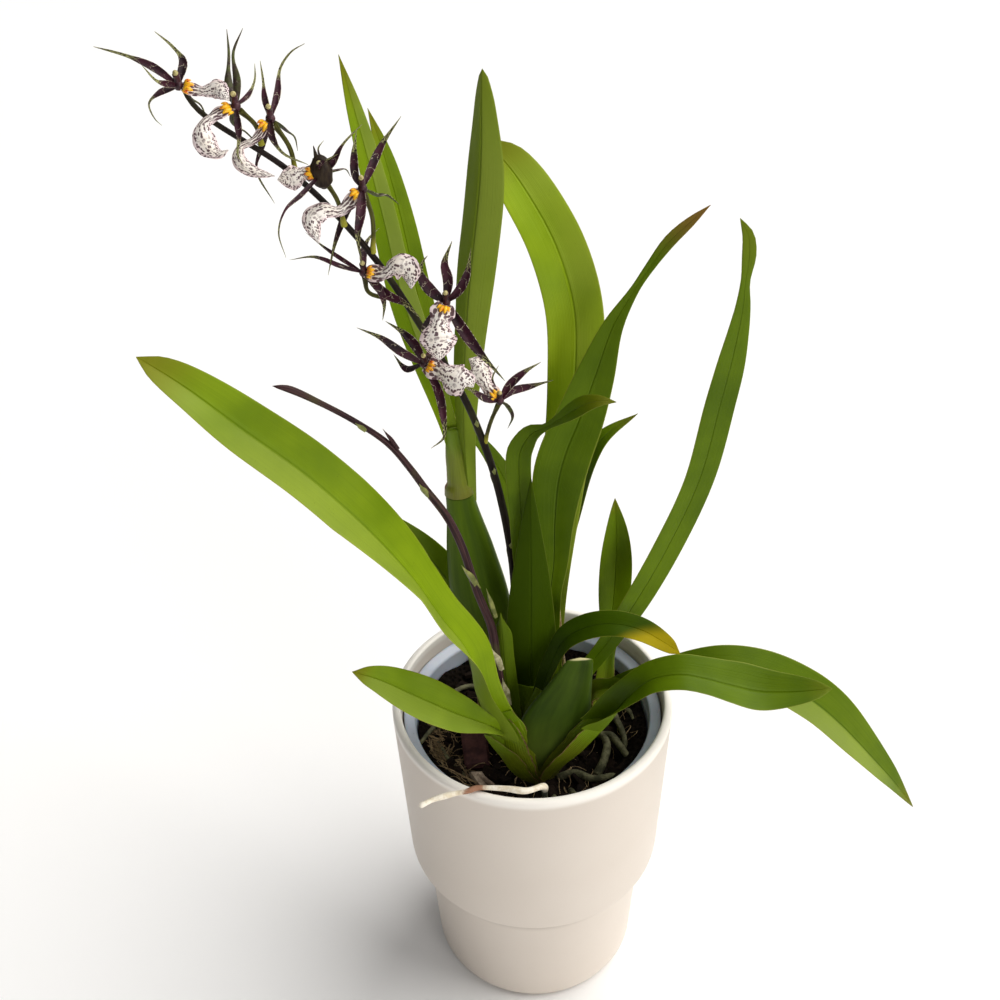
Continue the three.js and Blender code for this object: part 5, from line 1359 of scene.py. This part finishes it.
def build_flowering_spike():
    bm = bmesh.new()
    path = Path(SPIKE_POINTS)
    rod(bm, path, FRONT, lambda t: mix(2.3, 0.9, t), None, 130, 14)
    for t in JOINT_PLACES:
        joint_bract(bm, path, t, 2.5 - t)
    for bloom in BLOOMS:
        if "foot" not in bloom:
            continue
        end = Vector(bloom["at"])
        bend = Vector(bloom["bow"])
        tip = end + (bend - end).normalized() * STALK_GAP
        rod(bm, Path([bloom["foot"], bend, tip]), FRONT, STALK_GIRTH, None, 30, 10, 1)
    piece("spike_flowering_stem", bm, "stem_purple", "spike_flowering", SPIKE, PEDICEL, BRACT)


def build_bud_spike():
    bm = bmesh.new()
    girth = stops((0, 2.5), (0.5, 1.9), (0.9, 1.2), (0.97, 1.5), (1, 0.7))
    rod(bm, Path(BUD_SPIKE_POINTS), FRONT, girth, None, 130, 14)
    for points, wide, finish in BUD_SPIKE_BRACTS:
        half = stops((0, wide), (0.45, wide * 1.1), (1, 0.15))
        blade(bm, Path(points), facing(0.3, 0.9, -0.2), half, lambda t: 44, 0.5, 16, 16, finish)
    piece("spike_budding_stem", bm, "stem_purple", "spike_budding", BUD_SPIKE, BRACT, PAPER_BRACT)


# Rim root and straws

RIM_ROOT_POINTS = [
    (4, -51, 152), (3.8, -55, 168), (2.6, -59.8, 177.4), (-4.8, -63.4, 178.9), (-13.9, -62, 179.1),
    (-23, -60.9, 178.9), (-27.6, -61, 179), (-32.2, -63, 179.2), (-37.5, -63.8, 178.9), (-42.8, -65.5, 179.1),
    (-47.4, -67, 178.9), (-53.8, -71, 179.2),
]

STRAWS = [
    ([(20, 9, 147), (15.5, 8.5, 200), (12.3, 8, 226), (10.6, 9, 249)], 0.9),
    ([(19.4, 9.6, 147), (16.4, 9.4, 190), (13.6, 8.6, 232)], 0.7),
]


def build_rim_root():
    bm = bmesh.new()
    knobs = stops(
        (0, 1.7), (0.15, 1.4), (0.28, 1.75), (0.36, 1.35), (0.45, 1.6), (0.55, 1.3), (0.62, 1.1), (0.7, 1.35),
        (0.76, 1.1), (0.85, 1.45), (0.93, 1.15), (1, 1.4),
    )
    rod(bm, Path(RIM_ROOT_POINTS), FRONT, knobs, None, 90, 14)
    piece("rim_root_stem", bm, "root_pale", "rim_root", RIM_ROOT)


def build_straws():
    bm = bmesh.new()
    for points, radius in STRAWS:
        rod(bm, Path(points), FRONT, lambda t: radius - 0.3 * t, None, 30, 8)
    piece("dry_straw_pair", bm, "straw_dry", "dry_straw", STRAW)


# Floor, light and camera

FLOOR_RADIUS = 4.0
FLOOR_COLOR = (0.95, 0.948, 0.945, 1)
WARM_WHITE = (1.0, 0.98, 0.95)
NEAR_WHITE = (1.0, 0.99, 0.98)
ROOM_COLOR = (0.95, 0.97, 1.0, 1)
ROOM_STRENGTH = 0.04


def build_floor():
    bm = bmesh.new()
    bmesh.ops.create_circle(bm, cap_ends=True, segments=96, radius=FLOOR_RADIUS)
    mesh = bpy.data.meshes.new("floor")
    bm.to_mesh(mesh)
    bm.free()
    made = Finish("floor_pale", 0.7, Specular_IOR_Level=0.2)
    made.shader.inputs["Base Color"].default_value = FLOOR_COLOR
    mesh.materials.append(made.material)
    floor = bpy.data.objects.new("floor", mesh)
    bpy.context.scene.collection.objects.link(floor)


def soft_light(name, toward, angle, strength, color):
    """A broad far light: the way it comes from and how many degrees it spans."""
    light = bpy.data.lights.new(name, "SUN")
    light.angle = math.radians(angle)
    light.energy = strength
    light.color = color
    lamp = bpy.data.objects.new(name, light)
    lamp.rotation_euler = Vector(toward).to_track_quat("Z", "Y").to_euler()
    bpy.context.scene.collection.objects.link(lamp)


def build_light():
    soft_light("key", (1.5, 0.4, 1.7), 70, 3.5, WARM_WHITE)
    soft_light("top", (0, 0.2, 1), 120, 0.7, NEAR_WHITE)
    soft_light("front", (1.1, -1.6, 0.35), 30, 1.15, WARM_WHITE)
    world = bpy.data.worlds.new("room")
    world.use_nodes = True
    background = world.node_tree.nodes["Background"]
    background.inputs["Color"].default_value = ROOM_COLOR
    background.inputs["Strength"].default_value = ROOM_STRENGTH
    bpy.context.scene.world = world
    bpy.context.scene.view_settings.view_transform = "Standard"


CAMERA_PLACE = (-0.0131, -0.4335, 0.6036)
CAMERA_PITCH = math.radians(35.28)
CAMERA_ROLL = math.radians(-1.67)
CAMERA_LENS = 43.2
CAMERA_SENSOR = 36


def build_camera():
    data = bpy.data.cameras.new("camera")
    data.sensor_width = CAMERA_SENSOR
    data.lens = CAMERA_LENS
    camera = bpy.data.objects.new("camera", data)
    turn = Matrix.Rotation(math.pi / 2 - CAMERA_PITCH, 4, "X") @ Matrix.Rotation(CAMERA_ROLL, 4, "Z")
    camera.matrix_world = Matrix.Translation(CAMERA_PLACE) @ turn
    bpy.context.scene.collection.objects.link(camera)
    bpy.context.scene.camera = camera


build_pot()
build_liner()
build_mix()
for leaf_name, leaf_facts in LEAVES.items():
    build_leaf(leaf_name, leaf_facts)
build_front_growth()
build_back_growth()
build_sheath_growth("centre")
build_sheath_growth("right")
for bloom_number, bloom_facts in enumerate(BLOOMS, 1):
    build_petals(bloom_number, bloom_facts)
    build_lip(bloom_number, bloom_facts)
build_flowering_spike()
build_bud_spike()
build_rim_root()
build_straws()
build_floor()
build_light()
build_camera()
